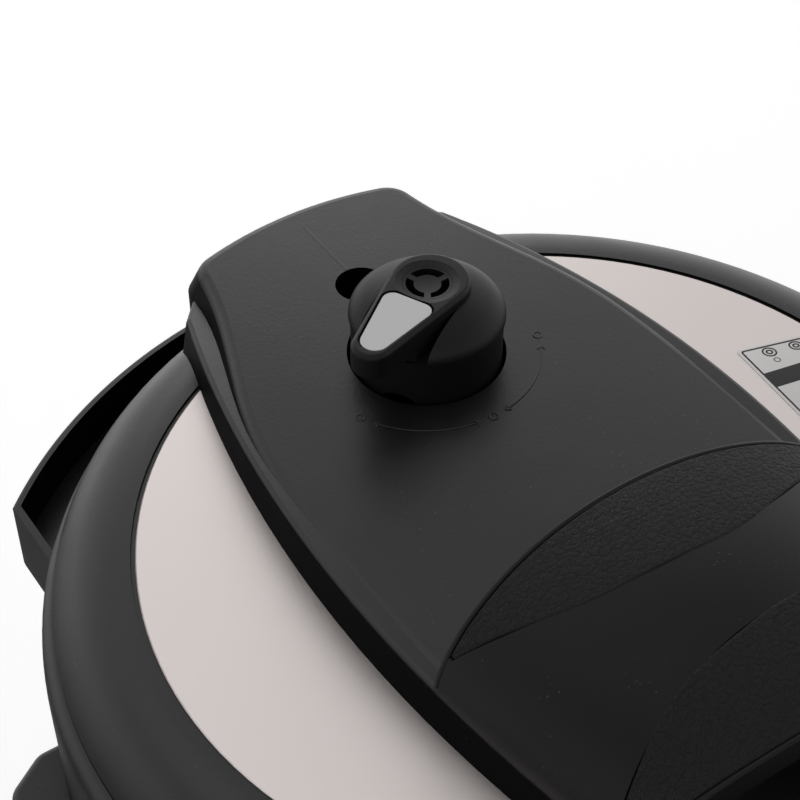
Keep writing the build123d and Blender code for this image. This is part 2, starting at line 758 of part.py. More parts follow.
with BuildPart() as control_overlay:
    with BuildSketch(Plane.XZ.offset(panel_face - PANEL_SINK)):
        with Locations((0, (overlay_low + overlay_high) / 2)):
            RectangleRounded(2 * OVERLAY_HALF_WIDTH, overlay_high - overlay_low, 8)
        with Locations((0, window_low + WINDOW_HEIGHT / 2)):
            Rectangle(2 * WINDOW_HALF_WIDTH, WINDOW_HEIGHT, mode=Mode.SUBTRACT)
    extrude(amount=overlay_face - panel_face + PANEL_SINK)
    with BuildSketch(Plane.XZ.offset(overlay_face)):
        with Locations(*KEY_SPOTS):
            Circle(KEY_RADIUS)
    extrude(amount=panel_reach - overlay_face)
save(control_overlay.part, "control_overlay")

with BuildPart() as display_window:
    with BuildSketch(Plane.XZ.offset(panel_face - PANEL_WALL)):
        with Locations((0, window_low + WINDOW_HEIGHT / 2)):
            Rectangle(2 * (WINDOW_HALF_WIDTH - FIT / 2), WINDOW_HEIGHT - FIT)
    extrude(amount=overlay_face - 0.2 - panel_face + PANEL_WALL)
save(display_window.part, "display_window")

with BuildPart() as control_board:
    with BuildSketch(Plane.XZ.offset(-panel_board_y)):
        with Locations((0, (overlay_low + overlay_high) / 2)):
            Rectangle(100, overlay_high - overlay_low)
    extrude(amount=-BOARD_THICK)
save(control_board.part, "control_board")

with BuildPart() as display_module:
    with BuildSketch(Plane.XZ.offset(-panel_board_y)):
        with Locations((0, window_low + WINDOW_HEIGHT / 2)):
            Rectangle(2 * WINDOW_HALF_WIDTH - 4, WINDOW_HEIGHT - 4)
    extrude(amount=3.2)
save(display_module.part, "display_module")

with BuildPart() as key_switches:
    with BuildSketch(Plane.XZ.offset(-panel_board_y)):
        with Locations(*KEY_SPOTS):
            Rectangle(6, 6)
    extrude(amount=3.2)
save(key_switches.part, "key_switches")

# ------------------------------------------------------------------ mains inlet
with BuildPart() as power_inlet:
    with BuildSketch(Plane.XZ.offset(-inlet_face)):
        with Locations((0, INLET_Z)):
            Rectangle(INLET_WIDTH, INLET_HEIGHT)
    extrude(amount=INLET_DEPTH)
    with BuildSketch(Plane.XZ.offset(-inlet_face)):
        with Locations((0, INLET_Z)):
            RectangleRounded(INLET_WIDTH + 10, INLET_HEIGHT + 6, 3)
    extrude(amount=-2)
    with BuildSketch(Plane.XZ.offset(-inlet_face - 2)):
        with Locations((0, INLET_Z)):
            Rectangle(INLET_WIDTH - 2 * INLET_WALL, INLET_HEIGHT - 2 * INLET_WALL)
    extrude(amount=INLET_DEPTH - 2, mode=Mode.SUBTRACT)
save(power_inlet.part, "power_inlet")

inlet_back = inlet_face - INLET_DEPTH + 4
with BuildPart() as inlet_pins:
    with BuildSketch(Plane.XZ.offset(-inlet_back)):
        with Locations((0, INLET_Z + 2.5), (-7, INLET_Z - 1.5), (7, INLET_Z - 1.5)):
            Rectangle(2, 4)
    extrude(amount=-14)
save(inlet_pins.part, "inlet_pins")

# ------------------------------------------------------------------ condensation cup
cup_mouth = ring_bottom - CUP_DROP
cup_floor = cup_mouth - CUP_HEIGHT
pad_low = cup_floor + 7
cup_back = housing_radius + CUP_BACK
cavity_back = pad_reach + RUN + CUP_WALL
cavity_corner = cup_reach - CUP_BOW - CUP_WALL
cup_curve = (CUP_HALF_WIDTH**2 + CUP_BOW**2) / (2 * CUP_BOW)

with BuildPart() as cup_bracket:
    add(box_between((-PAD_HALF_WIDTH, 120, pad_low), (PAD_HALF_WIDTH, pad_reach, pad_low + PAD_HEIGHT)))
    add(disc(housing_radius + FIT / 2, pad_low, pad_low + PAD_HEIGHT), mode=Mode.SUBTRACT)
save(cup_bracket.part, "cup_bracket")

with BuildPart() as condensation_cup:
    with BuildSketch(Plane.XY.offset(cup_floor)):
        with BuildLine():
            Polyline(
                (-CUP_HALF_WIDTH, cup_reach - CUP_BOW),
                (-CUP_HALF_WIDTH, cup_back),
                (CUP_HALF_WIDTH, cup_back),
                (CUP_HALF_WIDTH, cup_reach - CUP_BOW),
            )
            RadiusArc(
                (-CUP_HALF_WIDTH, cup_reach - CUP_BOW), (CUP_HALF_WIDTH, cup_reach - CUP_BOW),
                cup_curve,
            )
        make_face()
    extrude(amount=CUP_HEIGHT)
    fillet(condensation_cup.edges().filter_by(Axis.Z).group_by(Axis.Y)[-1], 4)
    fillet(condensation_cup.faces().sort_by(Axis.Z)[0].edges().sort_by(Axis.Y)[-1], 1.5)
    with BuildSketch(Plane.XY.offset(cup_floor + CUP_WALL)):
        with BuildLine():
            Polyline(
                (-CUP_HALF_WIDTH + CUP_WALL, cavity_corner),
                (-CUP_HALF_WIDTH + CUP_WALL, cavity_back),
                (CUP_HALF_WIDTH - CUP_WALL, cavity_back),
                (CUP_HALF_WIDTH - CUP_WALL, cavity_corner),
            )
            RadiusArc(
                (-CUP_HALF_WIDTH + CUP_WALL, cavity_corner),
                (CUP_HALF_WIDTH - CUP_WALL, cavity_corner),
                cup_curve,
            )
        make_face()
    extrude(amount=CUP_HEIGHT, mode=Mode.SUBTRACT)
    # pocket that fits over the bracket
    add(
        box_between(
            (-PAD_HALF_WIDTH - RUN, cup_back - 1, pad_low - RUN),
            (PAD_HALF_WIDTH + RUN, pad_reach + RUN, pad_low + PAD_HEIGHT + RUN),
        ),
        mode=Mode.SUBTRACT,
    )
save(condensation_cup.part, "condensation_cup")

# ------------------------------------------------------------------ pressure lid
with BuildPart() as pressure_lid:
    with BuildSketch(Plane.XZ):
        with BuildLine():
            Spline(
                (0, press_top + PRESS_CROWN), (PRESS_DOME, press_top), tangents=((1, 0), (1, 0))
            )
            Line((PRESS_DOME, press_top), (press_skirt - 8, press_top))
            RadiusArc((press_skirt - 8, press_top), (press_skirt, press_top - 8), 8)
            Polyline(
                (press_skirt, press_top - 8),
                (press_skirt, press_foot),
                (press_skirt - PRESS_SHEET, press_foot),
                (press_skirt - PRESS_SHEET, press_top - 8),
            )
            RadiusArc(
                (press_skirt - PRESS_SHEET, press_top - 8), (press_skirt - 8, press_under), -6
            )
            Line((press_skirt - 8, press_under), (PRESS_DOME, press_under))
            Spline(
                (PRESS_DOME, press_under),
                (0, press_under + PRESS_CROWN),
                tangents=((-1, 0), (-1, 0)),
            )
            Line((0, press_under + PRESS_CROWN), (0, press_top + PRESS_CROWN))
        make_face()
    revolve(axis=Axis.Z)
    # bayonet lugs on the skirt, the seal's retaining rim and the fixing studs
    add(lug_ring(liner_flange + LUG_REACH - 2.8, press_skirt - 1, press_foot, lid_lug_top))
    add(revolved([
        (seal_outer + FIT, press_under - 4), (seal_outer + FIT + 1.2, press_under - 4),
        (seal_outer + FIT + 1.2, press_under + 0.5), (seal_outer + FIT, press_under + 0.5),
    ]))
    with Locations(*[(x, y, press_top - 0.5) for x, y in STUD_SPOTS]):
        Cylinder(
            STUD_RADIUS, disc_z + 6 - press_top + 0.5, align=(Align.CENTER, Align.CENTER, Align.MIN)
        )
    with BuildSketch(Plane.XY.offset(press_under - 1)):
        with Locations((valve_x, 0)):
            Circle(PIPE_RADIUS + FIT / 2)
        with Locations((float_x, 0)):
            Circle(FLOAT_PIN + RUN)
    extrude(amount=PRESS_SHEET + 2, mode=Mode.SUBTRACT)
save(pressure_lid.part, "pressure_lid")

save(
    revolved([
        (seal_inner, seal_bottom), (seal_outer, seal_bottom), (seal_outer, press_under),
        (seal_inner, press_under), (seal_inner, press_under - SEAL_LIP),
        (seal_outer - SEAL_BACK, press_under - SEAL_LIP),
        (seal_outer - SEAL_BACK, seal_bottom + SEAL_LIP), (seal_inner, seal_bottom + SEAL_LIP),
    ]),
    "sealing_ring",
)

rack_z = (seal_bottom + press_under) / 2
with BuildPart() as seal_rack:
    with Locations((0, 0, rack_z)):
        Torus(rack_radius, RACK_WIRE)
    with PolarLocations(0, RACK_POSTS, start_angle=30):
        add(
            box_between((seal_inner - 2.3, -4, rack_z - 0.8), (rack_radius, 4, rack_z + 0.8))
        )
        add(
            box_between((seal_inner - 2.3, -4, rack_z - 0.8), (seal_inner - 0.6, 4, press_under))
        )
save(seal_rack.part, "seal_rack")

pipe_top = disc_z + PIPE_TOP
save(
    revolved([
        (PIPE_BORE, press_under - 8), (PIPE_RADIUS, press_under - 8), (PIPE_RADIUS, press_top),
        (PIPE_RADIUS + 2.4, press_top), (PIPE_RADIUS + 2.4, press_top + 4),
        (PIPE_RADIUS, press_top + 4), (PIPE_RADIUS, pipe_top - 1), (PIPE_RADIUS - 1, pipe_top),
        (PIPE_BORE, pipe_top),
    ]).moved(Location((valve_x, 0, 0))),
    "vent_pipe",
)


with BuildPart() as vent_nut:
    with BuildSketch(Plane.XY.offset(press_under)):
        with Locations((valve_x, 0)):
            RegularPolygon(8, 6)
            Circle(PIPE_RADIUS + FIT / 2, mode=Mode.SUBTRACT)
    extrude(amount=-4)
save(vent_nut.part, "vent_nut")

shield_low = press_under - 15.0
with BuildPart() as anti_block_shield:
    add(revolved([
        (0, shield_low), (SHIELD_RADIUS - 2, shield_low), (SHIELD_RADIUS, shield_low + 2),
        (SHIELD_RADIUS, press_under), (SHIELD_RADIUS - 1, press_under),
        (SHIELD_RADIUS - 1, shield_low + 2.4), (SHIELD_RADIUS - 2.4, shield_low + 1),
        (0, shield_low + 1),
    ]).moved(Location((valve_x, 0, 0))))
    with Locations((valve_x, 0, shield_low + 4)):
        with PolarLocations(SHIELD_RADIUS, 10):
            Box(6, 3, 8, align=(Align.CENTER, Align.CENTER, Align.MIN), mode=Mode.SUBTRACT)
save(anti_block_shield.part, "anti_block_shield")

# ------------------------------------------------------------------ lid shell and disc
seat_z = disc_z - DISC_THICK
ring_start = disc_radius + GROOVE


def ring_arc(offset):
    """Section of the lid's convex ring, moved outwards by an offset."""
    start = (ring_start - 0.4 * offset, disc_z + offset)
    end = (lip_radius + offset, lip_z)
    run, fall = end[0] - start[0], start[1] - end[1]
    chord = hypot(run, fall)
    middle = (
        (start[0] + end[0]) / 2 + RING_BULGE * fall / chord,
        (start[1] + end[1]) / 2 + RING_BULGE * run / chord,
    )
    return start, middle, end


with BuildPart() as lid_shell:
    with BuildSketch(Plane.XZ):
        with BuildLine():
            outer_start, outer_middle, outer_end = ring_arc(0)
            inner_start, inner_middle, inner_end = ring_arc(-LIP_THICK)
            Polyline((0, shell_bottom), (0, seat_z), (ring_start, seat_z), outer_start)
            ThreePointArc(outer_start, outer_middle, outer_end)
            Polyline(outer_end, (lip_radius, lip_z - 1.6), (lip_radius - LIP_THICK, lip_z - 1.6), inner_end)
            ThreePointArc(inner_end, inner_middle, (inner_start[0], shell_bottom))
            Line((inner_start[0], shell_bottom), (0, shell_bottom))
        make_face()
    revolve(axis=Axis.Z)
    with Locations(*[(x, y, press_top) for x, y in STUD_SPOTS]):
        Cylinder(
            BOSS_RADIUS, shell_bottom - press_top, align=(Align.CENTER, Align.CENTER, Align.MIN)
        )
    with BuildSketch(Plane.XY.offset(press_top)):
        with Locations(*STUD_SPOTS):
            Circle(STUD_RADIUS + FIT / 2)
        with Locations((valve_x, 0)):
            Circle(PIPE_RADIUS + RUN)
        with Locations((float_x, 0)):
            Circle(GUIDE_RADIUS + FIT / 2)
        with Locations(*HANDLE_SCREW_SPOTS, *SPINE_SCREW_SPOTS):
            Circle(SCREW_HOLE)
    extrude(amount=disc_z - press_top + 1, mode=Mode.SUBTRACT)
save(lid_shell.part, "lid_shell")

with BuildPart() as steel_disc:
    add(revolved([
        (0, seat_z), (disc_radius, seat_z), (disc_radius, disc_z - 0.4),
        (disc_radius - 0.4, disc_z), (0, disc_z),
    ]))
    with BuildSketch(Plane.XY.offset(seat_z)):
        with Locations(*STUD_SPOTS):
            Circle(STUD_RADIUS + FIT)
        with Locations((valve_x, 0)):
            Circle(PIPE_RADIUS + RUN)
        with Locations((float_x, 0)):
            Circle(GUIDE_RADIUS + FIT / 2)
        with Locations(*HANDLE_SCREW_SPOTS, *SPINE_SCREW_SPOTS):
            Circle(SCREW_HOLE)
    extrude(amount=DISC_THICK, mode=Mode.SUBTRACT)
save(steel_disc.part, "steel_disc")

with BuildPart() as lid_nuts:
    with BuildSketch(Plane.XY.offset(disc_z)):
        with Locations(*STUD_SPOTS):
            RegularPolygon(4.6, 6)
            Circle(STUD_RADIUS + FIT / 2, mode=Mode.SUBTRACT)
    extrude(amount=4)
save(lid_nuts.part, "lid_nuts")

# ------------------------------------------------------------------ spine of the lid
ledge_radius = (SPINE_SHOULDER_X**2 + (LEDGE_HALF_WIDTH - LEDGE_SHOULDER_Y) ** 2) / (
    2 * (LEDGE_HALF_WIDTH - LEDGE_SHOULDER_Y)
)


def ledge_half_width(x):
    """Half width of the spine's ledge at a distance along the lid."""
    return LEDGE_HALF_WIDTH - ledge_radius + sqrt(ledge_radius**2 - x**2)


def lens_outline(half_width, shoulder_y, end_y, end_x, inset=0.0):
    """Closed plan outline of the spine: two long arcs, soft corners and blunt ends."""
    wide = half_width - inset
    shoulder = (SPINE_SHOULDER_X - inset, shoulder_y - inset)
    corner = (end_x - inset, end_y - inset)
    ThreePointArc((-shoulder[0], shoulder[1]), (0, wide), shoulder)
    Line(shoulder, corner)
    Line(corner, (corner[0], -corner[1]))
    Line((corner[0], -corner[1]), (shoulder[0], -shoulder[1]))
    ThreePointArc((shoulder[0], -shoulder[1]), (0, -wide), (-shoulder[0], -shoulder[1]))
    Line((-shoulder[0], -shoulder[1]), (-corner[0], -corner[1]))
    Line((-corner[0], -corner[1]), (-corner[0], corner[1]))
    Line((-corner[0], corner[1]), (-shoulder[0], shoulder[1]))


spine_foot = lip_z + 4.0
ledge_drop_radius = (SPINE_SHOULDER_X**2 + LEDGE_FALL**2) / (2 * LEDGE_FALL)


def upper_outline(inset=0.0):
    """Closed plan outline of the spine's top tier, before its corners are rounded."""
    wide = LEDGE_HALF_WIDTH - UPPER_INSET - max(inset, 0)
    (first_x, first_y), *middle_points, _ = UPPER_POINTS
    side = [(first_x, first_y - max(inset, 0))] + [(x, y - inset) for x, y in middle_points]
    side.append((UPPER_POINTS[-1][0] - inset, UPPER_POINTS[-1][1] - inset))
    back = [(-x, y) for x, y in reversed(side)]
    for flip in (1, -1):
        Spline(*[(x, flip * y) for x, y in back + [(0, wide)] + side])
    for end in (1, -1):
        ThreePointArc(
            (end * side[-1][0], side[-1][1]),
            (end * (UPPER_REACH - inset), 0),
            (end * side[-1][0], -side[-1][1]),
        )


with BuildPart() as lower_tier:
    with BuildSketch(Plane.XY.offset(spine_foot)):
        with BuildLine():
            lens_outline(SPINE_HALF_WIDTH, SPINE_SHOULDER_Y, SPINE_END_WIDTH, SPINE_END)
        make_face()
    with BuildSketch(Plane.XY.offset(disc_z + LEDGE_TOP)):
        with BuildLine():
            lens_outline(LEDGE_HALF_WIDTH, LEDGE_SHOULDER_Y, SPINE_END_WIDTH - 5, SPINE_END - 2.5)
        make_face()
    loft()
    with Locations((0, 0, disc_z + LEDGE_TOP - ledge_drop_radius)):
        Cylinder(ledge_drop_radius, CUTTER, rotation=(90, 0, 0), mode=Mode.INTERSECT)
    ledge_face = lower_tier.faces().sort_by(Axis.Z)[-1]
    fillet(ledge_face.edges(), LEDGE_EDGE)

# top tier: sides splay out downwards, and the top is crowned from side to side
crown_radius = (LEDGE_HALF_WIDTH**2 + CROWN**2) / (2 * CROWN)
with BuildPart() as upper_tier:
    for outset, height in ((UPPER_SPLAY, top_face - UPPER_DEPTH), (0, top_face)):
        with BuildSketch(Plane.XY.offset(height)) as tier_outline:
            with BuildLine():
                upper_outline(-outset)
            make_face()
            fillet(tier_outline.vertices(), UPPER_CORNER)
    loft()
    with BuildSketch(Plane.XY.offset(spine_foot + UPPER_SINK)) as tier_foot:
        with BuildLine():
            upper_outline(-UPPER_SPLAY)
        make_face()
        fillet(tier_foot.vertices(), UPPER_CORNER)
    extrude(amount=top_face - UPPER_DEPTH - spine_foot - UPPER_SINK)
    with Locations((0, 0, top_face - crown_radius)):
        Cylinder(crown_radius, CUTTER, rotation=(0, 90, 0), mode=Mode.INTERSECT)
    top_tier_face = upper_tier.faces().sort_by(Axis.Z)[-1]
    fillet(top_tier_face.edges(), UPPER_EDGE)

with BuildPart() as spine_envelope:
    add(upper_tier.part)
    add(lower_tier.part)
    # underside follows the disc and the lid's ring
    with BuildSketch(Plane.XZ):
        with BuildLine():
            fit_start, fit_middle, fit_end = ring_arc(FIT)
            Polyline((0, lip_z - 30), (0, disc_z), (ring_start, disc_z), fit_start)
            ThreePointArc(fit_start, fit_middle, fit_end)
            Polyline(fit_end, (lip_radius + FIT, lip_z - 30), (0, lip_z - 30))
        make_face()
    revolve(axis=Axis.Z, mode=Mode.SUBTRACT)

# finger well: a shallow dish under the handle
well_ball = (WELL_RADIUS**2 + WELL_DEPTH**2) / (2 * WELL_DEPTH)

with BuildPart() as cavity:
    with BuildSketch(Plane.XY.offset(disc_z)):
        with BuildLine():
            lens_outline(
                SPINE_HALF_WIDTH, SPINE_SHOULDER_Y, SPINE_END_WIDTH, SPINE_END, SPINE_WALL + 2
            )
        make_face()
        Rectangle(2 * CAVITY_END, CUTTER, mode=Mode.INTERSECT)
    extrude(amount=CAVITY_TOP)
    with BuildSketch(Plane.XY.offset(disc_z)):
        with BuildLine():
            upper_outline(SPINE_WALL)
        make_face()
        with Locations((-CAVITY_END + (CAVITY_END + 12) / 2, 0)):
            Rectangle(CAVITY_END + 12, CUTTER, mode=Mode.INTERSECT)
    extrude(amount=CAVITY_HIGH)
    # what stays solid inside: valve recess, float tube and screw bosses
    add(disc(RECESS_RADIUS + 2, disc_z, top_face, (valve_x, 0)), mode=Mode.SUBTRACT)
    add(disc(FLOAT_HOLE + 2, disc_z, top_face, (float_x, 0)), mode=Mode.SUBTRACT)
    for spot in HANDLE_SCREW_SPOTS + SPINE_SCREW_SPOTS:
        add(disc(4.5, disc_z, top_face, spot), mode=Mode.SUBTRACT)

with BuildPart() as spine_cover:
    add(spine_envelope.part)
    with Locations((GRIP_X, 0, top_face + well_ball - WELL_DEPTH)):
        Sphere(well_ball, mode=Mode.SUBTRACT)
    add(cavity.part, mode=Mode.SUBTRACT)
    add(
        disc(RECESS_RADIUS, disc_z + RECESS_FLOOR, top_face + 5, (valve_x, 0)),
        mode=Mode.SUBTRACT,
    )
    add(disc(PIPE_RADIUS + 2.4 + RUN, disc_z - 1, top_face, (valve_x, 0)), mode=Mode.SUBTRACT)
    add(disc(FLOAT_HOLE, disc_z - 1, top_face + 5, (float_x, 0)), mode=Mode.SUBTRACT)
    with BuildSketch(Plane.XY.offset(disc_z - 1)):
        with Locations(*HANDLE_SCREW_SPOTS):
            Circle(SCREW_HOLE)
    extrude(amount=SPINE_TOP + 4, mode=Mode.SUBTRACT)
    with BuildSketch(Plane.XY.offset(disc_z - 6)):
        with Locations(*SPINE_SCREW_SPOTS):
            Circle(SCREW_HOLE)
    extrude(amount=14, mode=Mode.SUBTRACT)
save(spine_cover.part, "spine_cover")


def screws_up(spots, head_z, tip_z):
    """Screws driven upwards, with their heads' seats at one height."""
    with BuildPart() as screws:
        with Locations(*[(x, y, head_z) for x, y in spots]):
            Cylinder(SCREW_HEAD, 2, align=(Align.CENTER, Align.CENTER, Align.MAX))
            Cylinder(
                SCREW_RADIUS, tip_z - head_z, align=(Align.CENTER, Align.CENTER, Align.MIN)
            )
    return screws.part


save(screws_up(HANDLE_SCREW_SPOTS, shell_bottom, top_face + 1.5), "handle_screws")
save(screws_up(SPINE_SCREW_SPOTS, shell_bottom, disc_z + 7), "spine_screws")

# ------------------------------------------------------------------ lid handle
grip_centre_z = disc_z + GRIP_SPRING_Z
grip_foot_z = disc_z + GRIP_SINK
grip_low = GRIP_X - GRIP_LENGTH / 2


def grip_arch(inset):
    """Half-elliptical arch across the spine, lofted along the lid."""
    with BuildPart() as arch:
        for step in range(GRIP_STATIONS):
            share = step / (GRIP_STATIONS - 1)
            x = grip_low - 4 + share * (GRIP_LENGTH + 8)
            away = (x - GRIP_X) / (GRIP_LENGTH / 2)
            reach = ledge_half_width(x) - inset
            height = GRIP_TOP - GRIP_SPRING_Z - GRIP_EDGE_DROP * away**2 - inset
            with BuildSketch(Plane.YZ.offset(x)):
                with BuildLine():
                    EllipticalCenterArc((0, grip_centre_z), reach, height, 0, arc_size=180)
                    Polyline(
                        (-reach, grip_centre_z),
                        (-reach, grip_foot_z),
                        (reach, grip_foot_z),
                        (reach, grip_centre_z),
                    )
                make_face()
        loft()
    return arch.part


def bowed_band(low, high, low_bow, high_bow):
    """Plan region between two bowed lines across the lid, as an upright block.

    Lines that lean towards each other close the region in a point at each side.
    """
    far = GRIP_SIDE
    closing = low_bow - high_bow
    if closing > 0:
        far = min(far, sqrt((high - low) / closing))
    low_end = low + low_bow * far**2
    high_end = high + high_bow * far**2
    with BuildPart() as band:
        with BuildSketch(Plane.XY.offset(disc_z - 5)):
            with BuildLine():
                ThreePointArc((low_end, far), (low, 0), (low_end, -far))
                ThreePointArc((high_end, far), (high, 0), (high_end, -far))
                if high_end - low_end > 0.01:
                    Line((low_end, far), (high_end, far))
                    Line((low_end, -far), (high_end, -far))
            make_face()
        extrude(amount=GRIP_TOP + 20)
    return band.part


grip_outer = grip_arch(0)
near_low = grip_low + PAD_EDGE
near_high = grip_low + PAD_WIDTH
far_low = 2 * GRIP_X - near_high
far_high = 2 * GRIP_X - near_low
pad_floor = box_between((-10, -90, disc_z - 5), (150, 90, top_face + PAD_FOOT))
with BuildPart() as pad_layer:
    add(grip_outer)
    add(grip_arch(PAD_DEPTH), mode=Mode.SUBTRACT)
    add(pad_floor, mode=Mode.SUBTRACT)

pads = {}
for name, low, high, low_bow, high_bow in (
    ("grip_pad_rear", near_low, near_high, GRIP_EDGE_BOW, -PAD_BOW),
    ("grip_pad_front", far_low, far_high, PAD_BOW, -GRIP_EDGE_BOW),
):
    with BuildPart() as grip_pad:
        add(pad_layer.part)
        add(bowed_band(low, high, low_bow, high_bow), mode=Mode.INTERSECT)
    pads[name] = grip_pad.part
    save(grip_pad.part, name)

with BuildPart() as lid_handle:
    add(grip_outer)
    add(grip_arch(GRIP_THICK), mode=Mode.SUBTRACT)
    add(
        bowed_band(grip_low, grip_low + GRIP_LENGTH, GRIP_EDGE_BOW, -GRIP_EDGE_BOW),
        mode=Mode.INTERSECT,
    )
    add(spine_envelope.part, mode=Mode.SUBTRACT)
    for pad in pads.values():
        add(pad, mode=Mode.SUBTRACT)
    with BuildSketch(Plane.XY.offset(top_face - 12)):
        with Locations(*HANDLE_SCREW_SPOTS):
            Circle(SCREW_HOLE)
    extrude(amount=15, mode=Mode.SUBTRACT)
save(lid_handle.part, "lid_handle")

# ------------------------------------------------------------------ steam valve
valve_at = Location((valve_x, 0, 0))
weight_low = pipe_top + RUN - WEIGHT_LAP
knob_foot = disc_z + KNOB_FOOT
shoulder_z = disc_z + KNOB_SHOULDER
pointer_top = disc_z + POINTER_TOP
web_low = shoulder_z - WEB_THICK
head_top = shoulder_z + RUN + 1.5

save(
    revolved([
        (PIPE_RADIUS + RUN, weight_low), (WEIGHT_RADIUS, weight_low),
        (WEIGHT_RADIUS, shoulder_z + RUN), (WEIGHT_RADIUS + 2, shoulder_z + RUN),
        (WEIGHT_RADIUS + 2, head_top), (PIPE_BORE, head_top), (PIPE_BORE, pipe_top + RUN),
        (PIPE_RADIUS + RUN, pipe_top + RUN),
    ]).moved(valve_at),
    "valve_weight",
)

notch_centre = top_face + NOTCH_RISE - NOTCH_CURVE
with BuildPart() as knob_skirt:
    add(revolved([
        (WEIGHT_RADIUS + SPINDLE_FIT, web_low - 8), (WEIGHT_RADIUS + HUB_WALL, web_low - 8),
        (WEIGHT_RADIUS + HUB_WALL, web_low), (KNOB_RADIUS - KNOB_WALL, web_low),
        (KNOB_RADIUS - KNOB_WALL, knob_foot), (KNOB_RADIUS, knob_foot),
        (KNOB_RADIUS, shoulder_z), (WEIGHT_RADIUS + SPINDLE_FIT, shoulder_z),
    ]).moved(valve_at))
    # notch in the skirt's lower edge, where steam escapes
    with Locations(Location((valve_x, 0, knob_foot), (0, 0, POINTER_ANGLE + NOTCH_TURN))):
        with Locations((KNOB_RADIUS, 0, notch_centre - knob_foot)):
            Cylinder(NOTCH_CURVE, 4 * KNOB_WALL, rotation=(0, 90, 0), mode=Mode.SUBTRACT)
            Box(
                4 * KNOB_WALL, 2 * NOTCH_CURVE, KNOB_RADIUS,
                align=(Align.CENTER, Align.CENTER, Align.MAX), mode=Mode.SUBTRACT,
            )
save(knob_skirt.part, "knob_skirt")

pointer_plane = Plane(
    origin=(valve_x, 0, 0), x_dir=(cos(radians(POINTER_ANGLE)), sin(radians(POINTER_ANGLE)), 0),
    z_dir=(0, 0, 1),
)


def teardrop(low, high, circles):
    """Upright block round a row of circles given as (along, across, radius)."""
    with BuildPart() as drop:
        with BuildSketch(pointer_plane.offset(low)):
            for along, across, radius in circles:
                with Locations((along, across)):
                    Circle(radius)
            make_hull()
        extrude(amount=high - low)
    return drop.part


nose_at = POINTER_REACH - POINTER_NOSE
POINTER_CIRCLES = [(-1.5, 0, POINTER_BACK), (nose_at, 0, POINTER_NOSE)]
INLAY_CIRCLES = [(12.4, 4.8, 3.3), (12.4, -4.8, 3.3), (nose_at - 1.5, 0, 4.4)]
inlay_pocket = [(along, across, r + INLAY_GROOVE) for along, across, r in INLAY_CIRCLES]
dish_ball = (VENT_RADIUS**2 + VENT_DISH**2) / (2 * VENT_DISH)
dish_floor = pointer_top - VENT_DISH

with BuildPart() as dome:
    with BuildSketch(Plane.XZ):
        with BuildLine():
            dome_height = DOME_TOP - KNOB_SHOULDER
            EllipticalCenterArc((0, shoulder_z), DOME_RADIUS, dome_height, 0, arc_size=90)
            Polyline(
                (0, shoulder_z + dome_height), (0, shoulder_z), (DOME_RADIUS, shoulder_z)
            )
        make_face()
    revolve(axis=Axis.Z)

with BuildPart() as pointer:
    add(teardrop(shoulder_z, pointer_top, POINTER_CIRCLES))
    fillet(pointer.faces().sort_by(Axis.Z)[-1].edges(), 1.6)
    with BuildSketch(pointer_plane.offset(shoulder_z)):
        Rectangle(CUTTER, CUTTER)
        Circle(KNOB_RADIUS - 0.8, mode=Mode.SUBTRACT)
    extrude(amount=NOSE_BOTTOM - KNOB_SHOULDER, mode=Mode.SUBTRACT)

with BuildPart() as knob_cap:
    add(dome.part.moved(valve_at))
    # the dome stops short on both sides of the pointer
    with BuildSketch(pointer_plane.offset(shoulder_z)):
        with Locations((DOME_RADIUS, 0)):
            Rectangle(2 * DOME_RADIUS, 2 * POCKET_HALF_WIDTH)
    extrude(amount=POINTER_TOP - KNOB_SHOULDER, mode=Mode.SUBTRACT)
    add(pointer.part)
    add(teardrop(pointer_top - INLAY_DEPTH, pointer_top + 1, inlay_pocket), mode=Mode.SUBTRACT)
    with Locations((valve_x, 0, pointer_top + dish_ball - VENT_DISH)):
        Sphere(dish_ball, mode=Mode.SUBTRACT)
    for radius, low, high in (
        (WEIGHT_RADIUS + 3, shoulder_z, head_top + 1),
        (VENT_CAP_RADIUS - 1, shoulder_z, pointer_top),
        (VENT_CAP_RADIUS + FIT / 2, dish_floor - VENT_CAP_THICK, pointer_top),
    ):
        add(disc(radius, low, high, (valve_x, 0)), mode=Mode.SUBTRACT)
save(knob_cap.part, "knob_cap")

save(
    teardrop(pointer_top - INLAY_DEPTH, pointer_top - 0.3, INLAY_CIRCLES),
    "pointer_inlay",
)

with BuildPart() as vent_cap:
    with BuildSketch(pointer_plane.offset(dish_floor - VENT_CAP_THICK)):
        Circle(VENT_CAP_RADIUS)
        with BuildSketch(pointer_plane.offset(dish_floor - VENT_CAP_THICK), mode=Mode.SUBTRACT):
            Circle(SLOT_OUTER)
            Circle(SLOT_INNER, mode=Mode.SUBTRACT)
            with PolarLocations(0, 3, start_angle=30):
                with Locations((SLOT_OUTER, 0)):
                    Rectangle(2 * SLOT_OUTER, 2, mode=Mode.SUBTRACT)
    extrude(amount=VENT_CAP_THICK + VENT_DISH)
    with Locations((valve_x, 0, pointer_top + dish_ball - VENT_DISH)):
        Sphere(dish_ball, mode=Mode.SUBTRACT)
save(vent_cap.part, "vent_cap")

# ------------------------------------------------------------------ float valve
float_at = Location((float_x, 0, 0))
float_top = top_face - FLOAT_SUNK
head_low = float_top - FLOAT_HEAD_THICK
guide_top = head_low - RUN
gasket_top = press_under - FLOAT_RISE - RUN
gasket_low = gasket_top - GASKET_HEIGHT

